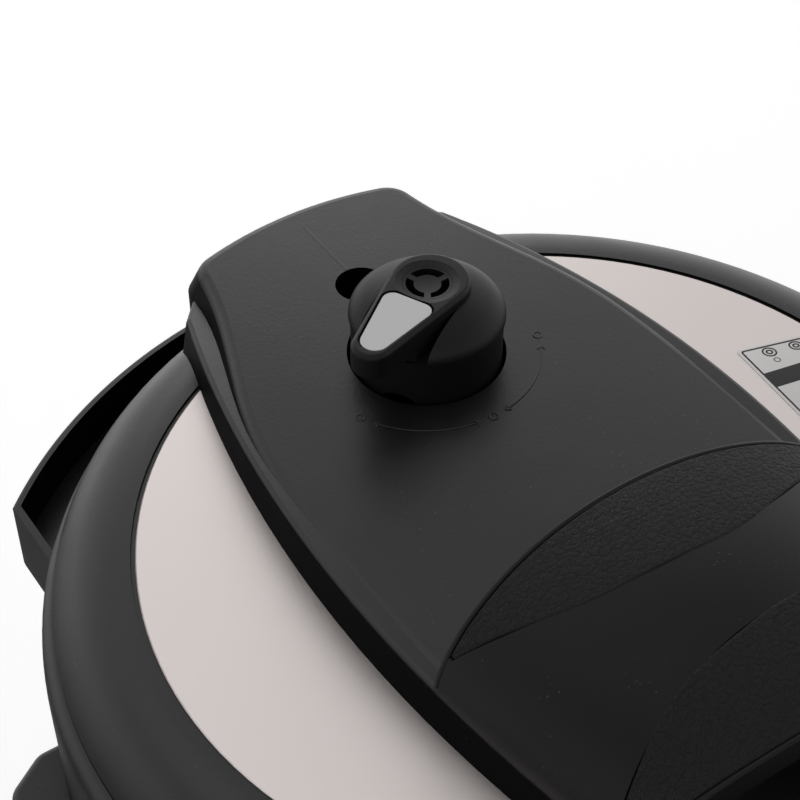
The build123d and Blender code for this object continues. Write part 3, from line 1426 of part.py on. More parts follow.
save(
    revolved([
        (FLOAT_PIN + RUN, press_top), (GUIDE_RADIUS, press_top), (GUIDE_RADIUS, guide_top),
        (FLOAT_PIN + RUN, guide_top),
    ]).moved(float_at),
    "float_guide",
)
save(
    revolved([
        (0, gasket_low - 1.2), (4.2, gasket_low - 1.2), (4.2, gasket_low),
        (FLOAT_PIN, gasket_low), (FLOAT_PIN, head_low), (FLOAT_HEAD, head_low),
        (FLOAT_HEAD, float_top - 0.8), (FLOAT_HEAD - 0.8, float_top), (0, float_top),
    ]).moved(float_at),
    "float_pin",
)
save(
    revolved([
        (FLOAT_PIN, gasket_low), (GASKET_RADIUS - 1, gasket_low),
        (GASKET_RADIUS, gasket_top - 1.5), (GASKET_RADIUS, gasket_top), (FLOAT_PIN, gasket_top),
    ]).moved(float_at),
    "float_gasket",
)
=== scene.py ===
# %% [markdown]
# # An electric pressure cooker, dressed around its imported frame
#
# The frame holds every rigid piece at its real size. This lesson gives each of them a
# finish worked out by shader nodes, and adds the fine pieces that a solid modeller leaves
# out: grained grip pads, raised marks round the steam valve, a printed plate on the steel
# disc, lips on the carrying handles and the signs of the control panel. The first cell
# loads the frame.

# %% Load the frame
import json
import math

import bmesh
import bpy
import numpy as np
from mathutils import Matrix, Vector


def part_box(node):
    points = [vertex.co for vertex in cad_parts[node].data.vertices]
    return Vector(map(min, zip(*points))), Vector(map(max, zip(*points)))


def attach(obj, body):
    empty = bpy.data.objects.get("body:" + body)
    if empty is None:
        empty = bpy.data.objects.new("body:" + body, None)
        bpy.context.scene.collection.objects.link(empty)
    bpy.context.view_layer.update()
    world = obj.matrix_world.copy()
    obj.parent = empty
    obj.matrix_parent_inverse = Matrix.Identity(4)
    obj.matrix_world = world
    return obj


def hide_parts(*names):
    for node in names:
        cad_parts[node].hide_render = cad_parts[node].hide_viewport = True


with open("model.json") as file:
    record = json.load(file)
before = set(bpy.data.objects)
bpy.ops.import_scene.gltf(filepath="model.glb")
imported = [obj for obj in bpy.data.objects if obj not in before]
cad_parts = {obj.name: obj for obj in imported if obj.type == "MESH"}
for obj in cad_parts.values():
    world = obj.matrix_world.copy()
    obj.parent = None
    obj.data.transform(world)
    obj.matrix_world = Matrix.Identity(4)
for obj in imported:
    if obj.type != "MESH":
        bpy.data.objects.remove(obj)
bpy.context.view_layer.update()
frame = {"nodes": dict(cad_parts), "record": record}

# %% [markdown]
# ## Places that the later cells share
#
# Everything sits where the frame says. The lid turns about the upright axis, the valve
# stands on the spine, and its pointer gives the direction that the raised marks follow.
# Reading these from the frame keeps the dressing true if the cooker's sizes change.

# %% Measure the lid
def middle_of(node):
    """Centre of a node's box."""
    low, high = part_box(node)
    return (low + high) / 2


disc_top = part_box("steel_disc")[1].z
face_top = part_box("spine_cover")[1].z
valve_x = middle_of("vent_pipe").x
pointer = middle_of("pointer_inlay") - middle_of("vent_pipe")
pointer_angle = math.atan2(pointer.y, pointer.x)
print("disc top", disc_top, "face", face_top, "pointer", math.degrees(pointer_angle))

# %% [markdown]
# ## The camera
#
# A product shot from a little above, close to the steam valve. A long lens keeps the
# lid's curves calm. The camera is aimed by its angles, a distance and a point on the disc.

# %% Camera
VIEW_AZIMUTH = math.radians(56.2)
VIEW_ELEVATION = math.radians(44.13)
VIEW_DISTANCE = 0.5899
VIEW_LENS = 83.6


def away_from(azimuth, elevation):
    """Direction from the target to the camera: turned from -Y towards +X, then raised."""
    flat = math.cos(elevation)
    return Vector(
        (math.sin(azimuth) * flat, -math.cos(azimuth) * flat, math.sin(elevation))
    )


camera_data = bpy.data.cameras.new("camera")
camera_data.lens = VIEW_LENS
camera_data.clip_end = 20.0
camera = bpy.data.objects.new("camera", camera_data)
bpy.context.scene.collection.objects.link(camera)
backwards = away_from(VIEW_AZIMUTH, VIEW_ELEVATION)
camera.location = Vector((-0.0698, -0.0092, disc_top)) + VIEW_DISTANCE * backwards
camera.rotation_euler = backwards.to_track_quat("Z", "Y").to_euler()
bpy.context.scene.camera = camera
bpy.context.scene.view_settings.view_transform = "Standard"
print("camera at", tuple(round(v, 4) for v in camera.location))

# %% [markdown]
# ## Shader building blocks
#
# Node trees written out call by call are hard to read, so one helper adds a node and fills
# its sockets, and another starts a node group with named sockets. Patterns live in groups
# because several finishes share them; the shaders themselves stay in the materials.

# %% Helpers for node trees
def put(tree, kind, inputs=None, **options):
    """Add one node, set its options, and fill or link its input sockets."""
    made = tree.nodes.new(kind)
    for key, value in options.items():
        setattr(made, key, value)
    for key, value in (inputs or {}).items():
        if isinstance(value, bpy.types.NodeSocket):
            tree.links.new(value, made.inputs[key])
        else:
            made.inputs[key].default_value = value
    return made


def math_node(tree, operation, first, second=0.0):
    """One arithmetic step, returned as its output socket."""
    return put(tree, "ShaderNodeMath", {0: first, 1: second}, operation=operation).outputs[0]


def blend_colours(tree, factor, first, second):
    """Mix two colours by a factor."""
    made = put(
        tree, "ShaderNodeMix", {0: factor, 6: first, 7: second}, data_type="RGBA"
    )
    return made.outputs[2]


def remap(tree, value, low, high, to_low, to_high):
    """Map a value's range on to another range, and hold it there."""
    made = put(
        tree, "ShaderNodeMapRange",
        {0: value, 1: low, 2: high, 3: to_low, 4: to_high},
    )
    return made.outputs[0]


def start_group(name, takes, gives):
    """Start a node group: input names with defaults, and output names of plain values."""
    tree = bpy.data.node_groups.new(name, "ShaderNodeTree")
    for label, default in takes.items():
        kind = "NodeSocketVector" if label == "Vector" else "NodeSocketFloat"
        socket = tree.interface.new_socket(name=label, in_out="INPUT", socket_type=kind)
        if kind == "NodeSocketFloat":
            socket.default_value = default
    for label in gives:
        tree.interface.new_socket(name=label, in_out="OUTPUT", socket_type="NodeSocketFloat")
    return tree, tree.nodes.new("NodeGroupInput").outputs, tree.nodes.new("NodeGroupOutput").inputs


def use_group(tree, group, inputs):
    """Place a group in a material and return its outputs."""
    made = put(tree, "ShaderNodeGroup", node_tree=group)
    for key, value in inputs.items():
        if isinstance(value, bpy.types.NodeSocket):
            tree.links.new(value, made.inputs[key])
        else:
            made.inputs[key].default_value = value
    return made.outputs


print("helpers ready")

# %% [markdown]
# ## Moulded grain
#
# Injection-moulded covers are spark-eroded: the surface is a carpet of tiny rounded pits.
# Two noises of different size give the pits their uneven spacing. A bump of a few
# hundredths of a millimetre is enough to break up reflections.

# %% Group: moulded grain
grain_group, grain_in, grain_out = start_group(
    "moulded grain", {"Vector": None, "Scale": 1800.0}, ["Height"]
)
grain_fine = put(
    grain_group, "ShaderNodeTexNoise",
    {"Vector": grain_in["Vector"], "Scale": grain_in["Scale"], "Detail": 3.0, "Roughness": 0.6},
).outputs["Fac"]
grain_coarse = put(
    grain_group, "ShaderNodeTexVoronoi",
    {"Vector": grain_in["Vector"], "Scale": math_node(grain_group, "MULTIPLY", grain_in["Scale"], 0.45)},
    feature="SMOOTH_F1",
).outputs["Distance"]
grain_group.links.new(
    math_node(
        grain_group, "ADD", math_node(grain_group, "MULTIPLY", grain_fine, 0.6),
        math_node(grain_group, "MULTIPLY", grain_coarse, 0.5),
    ),
    grain_out["Height"],
)
print(grain_group.name, len(grain_group.nodes), "nodes")

# %% [markdown]
# ## Handling
#
# Nothing in a kitchen is evenly clean. Broad soft clouds change how glossy a surface is
# where hands have wiped it, and sparse fine specks stand for dust that has settled.

# %% Group: handling
handling_group, handling_in, handling_out = start_group(
    "handling", {"Vector": None, "Size": 0.03, "Dust": 0.3}, ["Smudge", "Dust"]
)
cloud_scale = math_node(handling_group, "DIVIDE", 1.0, handling_in["Size"])
clouds = put(
    handling_group, "ShaderNodeTexNoise",
    {"Vector": handling_in["Vector"], "Scale": cloud_scale, "Detail": 4.0, "Distortion": 0.6},
).outputs["Fac"]
handling_group.links.new(remap(handling_group, clouds, 0.35, 0.7, 0.0, 1.0), handling_out["Smudge"])
specks = put(
    handling_group, "ShaderNodeTexVoronoi", {"Vector": handling_in["Vector"], "Scale": 420.0}
).outputs["Distance"]
speck_mask = remap(handling_group, specks, 0.05, 0.16, 1.0, 0.0)
patches = remap(
    handling_group,
    put(
        handling_group, "ShaderNodeTexNoise",
        {"Vector": handling_in["Vector"], "Scale": 55.0, "Detail": 2.0},
    ).outputs["Fac"],
    0.55, 0.7, 0.0, 1.0,
)
handling_group.links.new(
    math_node(
        handling_group, "MULTIPLY",
        math_node(handling_group, "MULTIPLY", speck_mask, patches), handling_in["Dust"],
    ),
    handling_out["Dust"],
)
print(handling_group.name, len(handling_group.nodes), "nodes")

# %% [markdown]
# ## Brushing
#
# The disc, the pot and the body are turned or rolled sheet, brushed round the upright
# axis. A noise that changes fast across the strokes and slowly along them gives that. Its
# three coordinates are radius plus height, and the cosine and sine of the angle, so that
# the pattern closes on itself with no seam.

# %% Group: brushing round the axis
brush_group, brush_in, brush_out = start_group(
    "round brushing", {"Vector": None, "Across": 2600.0, "Along": 14.0}, ["Strokes"]
)
parts = put(brush_group, "ShaderNodeSeparateXYZ", {0: brush_in["Vector"]}).outputs
angle = math_node(brush_group, "ARCTAN2", parts["Y"], parts["X"])
flat_vector = put(
    brush_group, "ShaderNodeCombineXYZ", {"X": parts["X"], "Y": parts["Y"]}
).outputs[0]
radius = put(brush_group, "ShaderNodeVectorMath", {0: flat_vector}, operation="LENGTH").outputs["Value"]
across = math_node(
    brush_group, "MULTIPLY", math_node(brush_group, "ADD", radius, parts["Z"]), brush_in["Across"]
)
wrapped = put(
    brush_group, "ShaderNodeCombineXYZ",
    {
        "X": across,
        "Y": math_node(brush_group, "MULTIPLY", math_node(brush_group, "COSINE", angle), brush_in["Along"]),
        "Z": math_node(brush_group, "MULTIPLY", math_node(brush_group, "SINE", angle), brush_in["Along"]),
    },
).outputs[0]
brush_group.links.new(
    put(
        brush_group, "ShaderNodeTexNoise",
        {"Vector": wrapped, "Scale": 1.0, "Detail": 4.0, "Roughness": 0.7},
    ).outputs["Fac"],
    brush_out["Strokes"],
)
print(brush_group.name, len(brush_group.nodes), "nodes")

# %% [markdown]
# ## Leather-like grain
#
# The grip pads are soft plastic moulded against real hide: smooth islands a millimetre or
# two across, divided by narrow creases. The distance to the borders of Voronoi cells gives
# the creases, and a noise bends the cells so that no two look alike.

# %% Group: hide grain
hide_group, hide_in, hide_out = start_group(
    "hide grain", {"Vector": None, "Cell": 0.0024}, ["Height", "Crease"]
)
bend = put(
    hide_group, "ShaderNodeTexNoise", {"Vector": hide_in["Vector"], "Scale": 260.0, "Detail": 2.0}
).outputs["Color"]
bent = put(
    hide_group, "ShaderNodeMix", {0: 0.0022, 4: hide_in["Vector"], 5: bend}, data_type="VECTOR"
).outputs[1]
islands = put(
    hide_group, "ShaderNodeTexVoronoi",
    {"Vector": bent, "Scale": math_node(hide_group, "DIVIDE", 1.0, hide_in["Cell"])},
    feature="DISTANCE_TO_EDGE",
).outputs["Distance"]
crease = remap(hide_group, islands, 0.0, 0.16, 1.0, 0.0)
pores = put(
    hide_group, "ShaderNodeTexNoise", {"Vector": hide_in["Vector"], "Scale": 2600.0, "Detail": 2.0}
).outputs["Fac"]
hide_group.links.new(
    math_node(
        hide_group, "ADD", math_node(hide_group, "SUBTRACT", 1.0, crease),
        math_node(hide_group, "MULTIPLY", pores, 0.25),
    ),
    hide_out["Height"],
)
hide_group.links.new(crease, hide_out["Crease"])
print(hide_group.name, len(hide_group.nodes), "nodes")

# %% [markdown]
# ## Plastic finishes
#
# All the black covers share one recipe and differ by colour, gloss and grain size. The
# colour is nearly black; what the eye reads as grey is the room reflected in the satin
# surface, so the roughness matters more than the colour does.

# %% Recipe: plastic
def start_material(name, colour, metallic=0.0):
    """A new material with its Principled shader, and the object coordinates as a socket."""
    material = bpy.data.materials.new(name)
    material.use_nodes = True
    material.diffuse_color = (*colour, 1.0)
    tree = material.node_tree
    shader = tree.nodes["Principled BSDF"]
    shader.inputs["Metallic"].default_value = metallic
    place = put(tree, "ShaderNodeTexCoord").outputs["Object"]
    return material, tree, shader, place


def bump(tree, shader, height, depth, strength=1.0):
    """Raise a surface by a height pattern of a given depth in metres."""
    made = put(tree, "ShaderNodeBump", {"Strength": strength, "Distance": depth, "Height": height})
    tree.links.new(made.outputs[0], shader.inputs["Normal"])


def plastic(
    name, colour, roughness, grain=1800.0, depth=0.00004, dust=0.25, specular=0.5, side_shade=0.0
):
    """Moulded plastic: grain in the bump, clouds in the gloss, a little dust on top.

    The last argument takes that share of the mirror off surfaces that don't face upwards:
    a black metal base, which has no mirror of its own, paints shade on these sides. The
    same mask makes them rougher, as covers are etched coarser there.
    """
    material, tree, shader, place = start_material(name, colour)
    shader.inputs["Specular Tint"].default_value = (0.5, 0.5, 0.5, 1.0)
    shader.inputs["Specular IOR Level"].default_value = specular
    handled = use_group(tree, handling_group, {"Vector": place, "Dust": dust})
    pits = use_group(tree, grain_group, {"Vector": place, "Scale": grain})["Height"]
    dusty = tuple(0.75 * c + 0.2 for c in colour)
    colour_out = blend_colours(tree, handled["Dust"], (*colour, 1.0), (*dusty, 1.0))
    tree.links.new(colour_out, shader.inputs["Base Color"])
    gloss = remap(tree, handled["Smudge"], 0.0, 1.0, roughness - 0.03, roughness + 0.04)
    if side_shade:
        # Painted shade: sides that don't face upwards get a black metal base with no mirror, and more
        # roughness.
        normal = put(tree, "ShaderNodeTexCoord").outputs["Normal"]
        facing = put(tree, "ShaderNodeSeparateXYZ", {0: normal}).outputs["Z"]
        side_shade_mask = remap(tree, facing, 0.3, 0.8, side_shade, 0.0)
        tree.links.new(side_shade_mask, shader.inputs["Metallic"])
        gloss = math_node(tree, "ADD", gloss, math_node(tree, "MULTIPLY", side_shade_mask, 0.3))
    tree.links.new(gloss, shader.inputs["Roughness"])
    bump(tree, shader, pits, depth)
    return material


finishes = {
    "black_shell": plastic("black cover", (0.0065, 0.0065, 0.0072), 0.33, specular=0.74, side_shade=0.8),
    "lid_black": plastic("black lid", (0.0052, 0.005, 0.0056), 0.34, specular=0.8, side_shade=0.95),
    "grip_black": plastic("smooth grip", (0.003, 0.003, 0.0034), 0.42, depth=0.00002, specular=0.3),
    "knob_black": plastic("valve knob", (0.0058, 0.0058, 0.0063), 0.4, dust=0.1, specular=0.3, side_shade=0.4),
    "dark_plastic": plastic("dark moulding", (0.02, 0.02, 0.02), 0.5),
    "pale_plastic": plastic("pale moulding", (0.55, 0.53, 0.47), 0.45),
    "foot_rubber": plastic("foot rubber", (0.018, 0.018, 0.018), 0.75, grain=900.0, specular=0.2),
    "silicone": plastic("milky silicone", (0.7, 0.7, 0.68), 0.5, grain=700.0),
    "overlay_film": plastic("membrane film", (0.03, 0.03, 0.032), 0.3, grain=2400.0, depth=0.00002),
    "painted_bottom": plastic("painted underside", (0.02, 0.02, 0.02), 0.5, grain=600.0),
    "inlay_silver": plastic("silver lacquer", (0.6, 0.6, 0.605), 0.4, grain=2400.0, depth=0.00002),
    "element_steel": plastic("oxidised tube", (0.09, 0.085, 0.08), 0.55, grain=900.0),
}
print(len(finishes), "plastic and painted finishes")

# %% [markdown]
# ## Metal finishes
#
# Brushed steel is a metal whose roughness varies stroke by stroke; a faint bump along the
# strokes stretches its highlights. Turned pins and cast plates use the same recipe with
# other colours and coarser strokes.

# %% Recipe: metal
def metal(name, colour, roughness, across=2600.0, along=14.0, depth=0.000006, tint=0.06):
    """Brushed metal: strokes change its gloss, its shade and, faintly, its surface."""
    material, tree, shader, place = start_material(name, colour, metallic=1.0)
    strokes = use_group(tree, brush_group, {"Vector": place, "Across": across, "Along": along})["Strokes"]
    handled = use_group(tree, handling_group, {"Vector": place, "Size": 0.05, "Dust": 0.1})
    darker = tuple(c * (1.0 - tint) for c in colour)
    lighter = tuple(min(1.0, c * (1.0 + tint)) for c in colour)
    shade = blend_colours(tree, strokes, (*darker, 1.0), (*lighter, 1.0))
    tree.links.new(shade, shader.inputs["Base Color"])
    gloss = math_node(
        tree, "ADD", remap(tree, strokes, 0.3, 0.7, roughness - 0.05, roughness + 0.05),
        math_node(tree, "MULTIPLY", handled["Smudge"], 0.04),
    )
    tree.links.new(gloss, shader.inputs["Roughness"])
    bump(tree, shader, strokes, depth)
    return material


finishes.update({
    "brushed_steel": metal("brushed body", (0.60, 0.585, 0.575), 0.33, depth=0.00001),
    "disc_steel": metal("satin disc", (0.615, 0.565, 0.55), 0.42, tint=0.03),
    "pot_steel": metal("pot steel", (0.63, 0.62, 0.61), 0.25, across=1500.0),
    "screw_steel": metal("zinc screws", (0.5, 0.5, 0.49), 0.35, across=3500.0),
    "pressed_aluminium": metal("pressed aluminium", (0.7, 0.7, 0.71), 0.4),
    "cast_aluminium": metal("machined plate", (0.55, 0.55, 0.56), 0.45, across=900.0, depth=0.00002),
    "zinc_steel": metal("zinc sheet", (0.5, 0.51, 0.51), 0.45, along=60.0),
    "spring_steel": metal("bright wire", (0.6, 0.6, 0.6), 0.25),
    "pin_steel": metal("turned pin", (0.62, 0.61, 0.6), 0.2, across=4000.0),
    "weight_steel": metal("turned weight", (0.58, 0.58, 0.58), 0.3, across=4000.0),
    "pin_brass": metal("contact brass", (0.66, 0.55, 0.3), 0.25, across=4000.0),
})
print(len(finishes), "finishes so far")

# %% [markdown]
# ## Clear pieces, boards and the display
#
# The drip cup and the spout are clear plastic, the window is smoked, and the boards behind
# them carry a green lacquer over copper tracks. A brick pattern is enough for the tracks.

# %% Recipe: clear plastic
def clear(name, colour, roughness):
    """See-through plastic with soft clouds in its gloss and a faint moulded wave."""
    material, tree, shader, place = start_material(name, colour)
    shader.inputs["Base Color"].default_value = (*colour, 1.0)
    shader.inputs["Transmission Weight"].default_value = 0.9
    shader.inputs["IOR"].default_value = 1.46
    handled = use_group(tree, handling_group, {"Vector": place, "Size": 0.02})
    tree.links.new(
        remap(tree, handled["Smudge"], 0.0, 1.0, roughness, roughness + 0.08),
        shader.inputs["Roughness"],
    )
    bump(tree, shader, handled["Smudge"], 0.00003)
    return material


def lacquered_board(name, lacquer, copper):
    """Circuit board: short copper tracks show through a coloured lacquer."""
    material, tree, shader, place = start_material(name, lacquer)
    tracks = put(
        tree, "ShaderNodeTexBrick",
        {"Vector": place, "Scale": 90.0, "Mortar Size": 0.04, "Brick Width": 0.9, "Row Height": 0.22},
    ).outputs["Fac"]
    colour_out = blend_colours(tree, tracks, (*lacquer, 1.0), (*copper, 1.0))
    tree.links.new(colour_out, shader.inputs["Base Color"])
    shader.inputs["Roughness"].default_value = 0.3
    bump(tree, shader, tracks, 0.00003)
    return material


def segment_display(name, glass, bars):
    """Unlit display: pale bars, a little lighter than the glass that they lie in."""
    material, tree, shader, place = start_material(name, glass)
    cells = put(
        tree, "ShaderNodeTexBrick",
        {"Vector": place, "Scale": 60.0, "Mortar Size": 0.08, "Brick Width": 0.6, "Row Height": 0.5},
    ).outputs["Fac"]
    colour_out = blend_colours(tree, cells, (*glass, 1.0), (*bars, 1.0))
    tree.links.new(colour_out, shader.inputs["Base Color"])
    shader.inputs["Roughness"].default_value = 0.12
    bump(tree, shader, cells, 0.00001)
    return material


finishes.update({
    "clear_plastic": clear("clear plastic", (0.82, 0.85, 0.86), 0.08),
    "smoked_window": clear("smoked window", (0.12, 0.12, 0.13), 0.05),
    "board": lacquered_board("green board", (0.01, 0.12, 0.04), (0.02, 0.2, 0.07)),
    "display": segment_display("display", (0.02, 0.035, 0.03), (0.03, 0.05, 0.045)),
})
print(len(finishes), "finishes")

# %% [markdown]
# ## Grained pads
#
# The two pads on the lid's handle get the hide grain. Its creases are painted darker, as
# painted shade, and the islands are a touch glossier, which hands polish.

# %% Recipe: hide-grained soft plastic
def grained_hide(name, colour, cell):
    """Soft plastic with a hide's grain."""
    material, tree, shader, place = start_material(name, colour)
    shader.inputs["Specular IOR Level"].default_value = 0.18
    hide = use_group(tree, hide_group, {"Vector": place, "Cell": cell})
    # Painted shade: the creases take a darker colour, 0.45 of the pad's own.
    shade = blend_colours(
        tree, hide["Crease"], (*colour, 1.0), (*(0.45 * c for c in colour), 1.0)
    )
    tree.links.new(shade, shader.inputs["Base Color"])
    tree.links.new(remap(tree, hide["Crease"], 0.0, 1.0, 0.46, 0.62), shader.inputs["Roughness"])
    bump(tree, shader, hide["Height"], 0.0001)
    return material


finishes["grained_pad"] = grained_hide("grained pad", (0.004, 0.004, 0.0044), 0.0008)
finishes["plate_face"] = metal("plate face", (0.5, 0.49, 0.485), 0.5, across=900.0, tint=0.02)
finishes["plate_line"] = plastic("plate print", (0.02, 0.02, 0.02), 0.5, dust=0.0)
finishes["sign_print"] = plastic("sign print", (0.5, 0.5, 0.5), 0.5, dust=0.0)
finishes["float_pin"] = metal("blackened pin", (0.05, 0.05, 0.05), 0.4, across=4000.0)

for entry in frame["record"]["subparts"]:
    node = frame["nodes"][entry["node"]]
    node.data.materials.clear()
    node.data.materials.append(finishes.get(entry["node"], finishes[entry["material_slot"]]))
print(len(frame["nodes"]), "frame nodes finished")

# %% [markdown]
# ## Fine pieces as lofted meshes
#
# Every fine piece is a row of closed cross-sections joined by quads. The sections are one
# block of numbers with three axes: station, point of the section, and coordinate. A closed
# row joins its last station to its first; an open one gets a flat face at each end.

# %% Helpers for lofted pieces
def loft(name, sections, finish, body="lid", closed=False):
    """Join cross-sections into one closed mesh that rides a body."""
    stations, points = sections.shape[:2]
    index = np.arange(stations * points).reshape(stations, points)
    near, ahead = (index, np.roll(index, -1, 0)) if closed else (index[:-1], index[1:])
    quads = np.stack([near, np.roll(near, -1, 1), np.roll(ahead, -1, 1), ahead], axis=-1)
    faces = quads.reshape(-1, 4).tolist()
    if not closed:
        faces += [index[0][::-1].tolist(), index[-1].tolist()]
    mesh = bpy.data.meshes.new(name)
    mesh.from_pydata(sections.reshape(-1, 3).tolist(), [], faces)
    shaped = bmesh.new()
    shaped.from_mesh(mesh)
    bmesh.ops.recalc_face_normals(shaped, faces=shaped.faces)
    shaped.to_mesh(mesh)
    shaped.free()
    mesh.shade_smooth()
    mesh.set_sharp_from_angle(angle=math.radians(55))
    mesh.materials.append(finish)
    piece = bpy.data.objects.new(name, mesh)
    bpy.context.scene.collection.objects.link(piece)
    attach(piece, body)
    return piece


def unit(vectors):
    """Vectors brought to length one."""
    return vectors / np.linalg.norm(vectors, axis=-1, keepdims=True)


def ridge(path, up, half_width, height, sunk=0.0002, closed=False):
    """Cross-sections of a half-round ridge along a path.

    Each section is half an ellipse: across, the half width times the cosine of a turning
    angle; upwards, the height times its sine. Two points under the surface close it.
    """
    ahead = np.roll(path, -1, 0) - np.roll(path, 1, 0) if closed else np.gradient(path, axis=0)
    up = np.broadcast_to(np.asarray(up, float), path.shape)
    side = unit(np.cross(up, ahead))
    turn = np.linspace(0.0, math.pi, 9)
    across = np.append(half_width * np.cos(turn), [-half_width, half_width])
    rise = np.append(height * np.sin(turn), [-sunk, -sunk])
    return (
        path[:, None]
        + across[None, :, None] * side[:, None]
        + rise[None, :, None] * up[:, None]
    )


print("loft and ridge ready")

# %% [markdown]
# ## Marks round the steam valve
#
# Three small rings show where the pointer stops, and two arcs with open arrow heads show
# that it turns between them. The spine's top is crowned, so their height falls with the
# square of the distance from the middle line; its radius is read off the cover's own mesh.

# %% Valve marks
MARK_RADIUS = 0.0358
MARK_RING = 0.0014
MARK_HALF_WIDTH = 0.00028
MARK_HEIGHT = 0.00034
ARROW_LENGTH = 0.0019
ARROW_SPREAD = 0.6
ARC_START_GAP = 0.13
ARC_END_GAP = 0.14

cover = frame["nodes"]["spine_cover"].data
spots = np.empty(len(cover.vertices) * 3)
cover.vertices.foreach_get("co", spots)
spots = spots.reshape(-1, 3)
aside = np.abs(spots[:, 1])
high = (spots[:, 2] > face_top - 0.0012) & (aside > 0.02)
crown_radius = float(np.mean(aside[high] ** 2) / (2 * np.mean(face_top - spots[high, 2])))


def on_spine(plan):
    """Plan points lifted on to the crowned top."""
    z = face_top - plan[:, 1] ** 2 / (2 * crown_radius)
    return np.column_stack([plan, z])


def around(angles, radius, centre=(0.0, 0.0)):
    """Plan points on a circle."""
    return np.column_stack(
        [centre[0] + radius * np.cos(angles), centre[1] + radius * np.sin(angles)]
    )


def mark(name, plan, closed=False):
    """One raised mark on the spine."""
    sections = ridge(on_spine(plan), (0, 0, 1), MARK_HALF_WIDTH, MARK_HEIGHT, closed=closed)
    return loft(name, sections, finishes["lid_black"], closed=closed)


def arrow_head(name, at, towards):
    """Two strokes that meet at a point of the mark circle."""
    tip = around(np.array([at]), MARK_RADIUS, (valve_x, 0))[0]
    back = at + math.pi / 2 * (-1 if towards > 0 else 1)
    for label, spread in (("a", ARROW_SPREAD), ("b", -ARROW_SPREAD)):
        end = tip + ARROW_LENGTH * np.array([math.cos(back + spread), math.sin(back + spread)])
        mark(f"{name}_{label}", np.linspace(tip, end, 5))


full_turn = np.linspace(0, 2 * math.pi, 33)[:-1]
stop = abs(pointer_angle)
for label, angle in (("venting", -stop), ("sealing", 0.0), ("venting_far", stop)):
    centre = around(np.array([angle]), MARK_RADIUS, (valve_x, 0))[0]
    mark(f"ring_{label}", around(full_turn, MARK_RING, centre), closed=True)
for label, sign in (("near", -1), ("far", 1)):
    start, end = ARC_START_GAP * sign, (stop - ARC_END_GAP) * sign
    mark(f"arc_{label}", around(np.linspace(start, end, 49), MARK_RADIUS, (valve_x, 0)))
    arrow_head(f"arrow_{label}_sealing", start, -sign)
    arrow_head(f"arrow_{label}_venting", end, sign)
print("crown radius", round(crown_radius, 3), "marks in place")

# %% [markdown]
# Molten plastic flows round the float valve's hole and meets again behind it, which leaves
# a faint weld line that runs to the spine's rear end.

# %% Weld line
WELD_HALF_WIDTH = 0.0007
WELD_HEIGHT = 0.00003
WELD_CLEAR = 0.0088
WELD_LENGTH = 0.026

weld_start = middle_of("float_guide").x - WELD_CLEAR
weld = np.column_stack([np.linspace(weld_start, weld_start - WELD_LENGTH, 25), np.zeros(25)])
weld_sections = ridge(on_spine(weld), (0, 0, 1), WELD_HALF_WIDTH, WELD_HEIGHT)
loft("weld_line", weld_sections, finishes["lid_black"])
print("weld line", round(weld_start, 4))

# %% [markdown]
# ## Grip pads
#
# A pad follows the handle's arch, which is half an ellipse across the lid: its half width
# and its height change along the lid. Each pad lies between two bowed lines and sinks at
# its edges. The hide's islands are real relief: the difference between a point's distances
# to its nearest and second nearest scattered seeds is small along creases and large on
# islands.

# %% Pad shape
HANDLE = {
    "middle": 0.072, "half_length": 0.045, "rise": 0.035, "edge_drop": 0.005,
    "spring": 0.012, "side": 0.0734, "shoulder_x": 0.1324, "shoulder_y": 0.0496,
    "edge_bow": 2.3, "pad_bow": 4.4, "border": 0.0014, "pad_width": 0.032, "foot": 0.0242,
}
SETTLE_STEPS = 4
ledge_fall = HANDLE["side"] - HANDLE["shoulder_y"]
ledge_radius = (HANDLE["shoulder_x"] ** 2 + ledge_fall**2) / (2 * ledge_fall)


def arch(x, turn):
    """Points of the handle's outside: x along the lid, and the turn over the arch."""
    reach = HANDLE["side"] - ledge_radius + np.sqrt(ledge_radius**2 - x**2)
    away = (x - HANDLE["middle"]) / HANDLE["half_length"]
    height = HANDLE["rise"] - HANDLE["edge_drop"] * away**2
    z = disc_top + HANDLE["spring"] + height * np.sin(turn)
    return np.stack([x, reach * np.cos(turn), z], axis=-1)


def scattered(cell_x, cell_y):
    """Two repeatable numbers between 0 and 1 for each cell: the fraction of a large sine."""
    first = np.sin(cell_x * 127.1 + cell_y * 311.7) * 43758.5453
    second = np.sin(cell_x * 269.5 + cell_y * 183.3) * 24634.6345
    return first - np.floor(first), second - np.floor(second)


def creases(u, v):
    """Nearness to a border between cells: 1 in a crease, falling to 0 on an island."""
    u = u + 0.22 * np.sin(1.7 * v + 0.6 * u)
    v = v + 0.22 * np.sin(1.9 * u - 0.4 * v)
    distances = []
    for step_u in (-1, 0, 1):
        for step_v in (-1, 0, 1):
            cell_u, cell_v = np.floor(u) + step_u, np.floor(v) + step_v
            seed_u, seed_v = scattered(cell_u, cell_v)
            distances.append(np.hypot(cell_u + seed_u - u, cell_v + seed_v - v))
    nearest = np.sort(np.stack(distances), axis=0)
    gap = nearest[1] - nearest[0]
    return np.clip(1.0 - gap / 0.3, 0.0, 1.0) ** 1.5


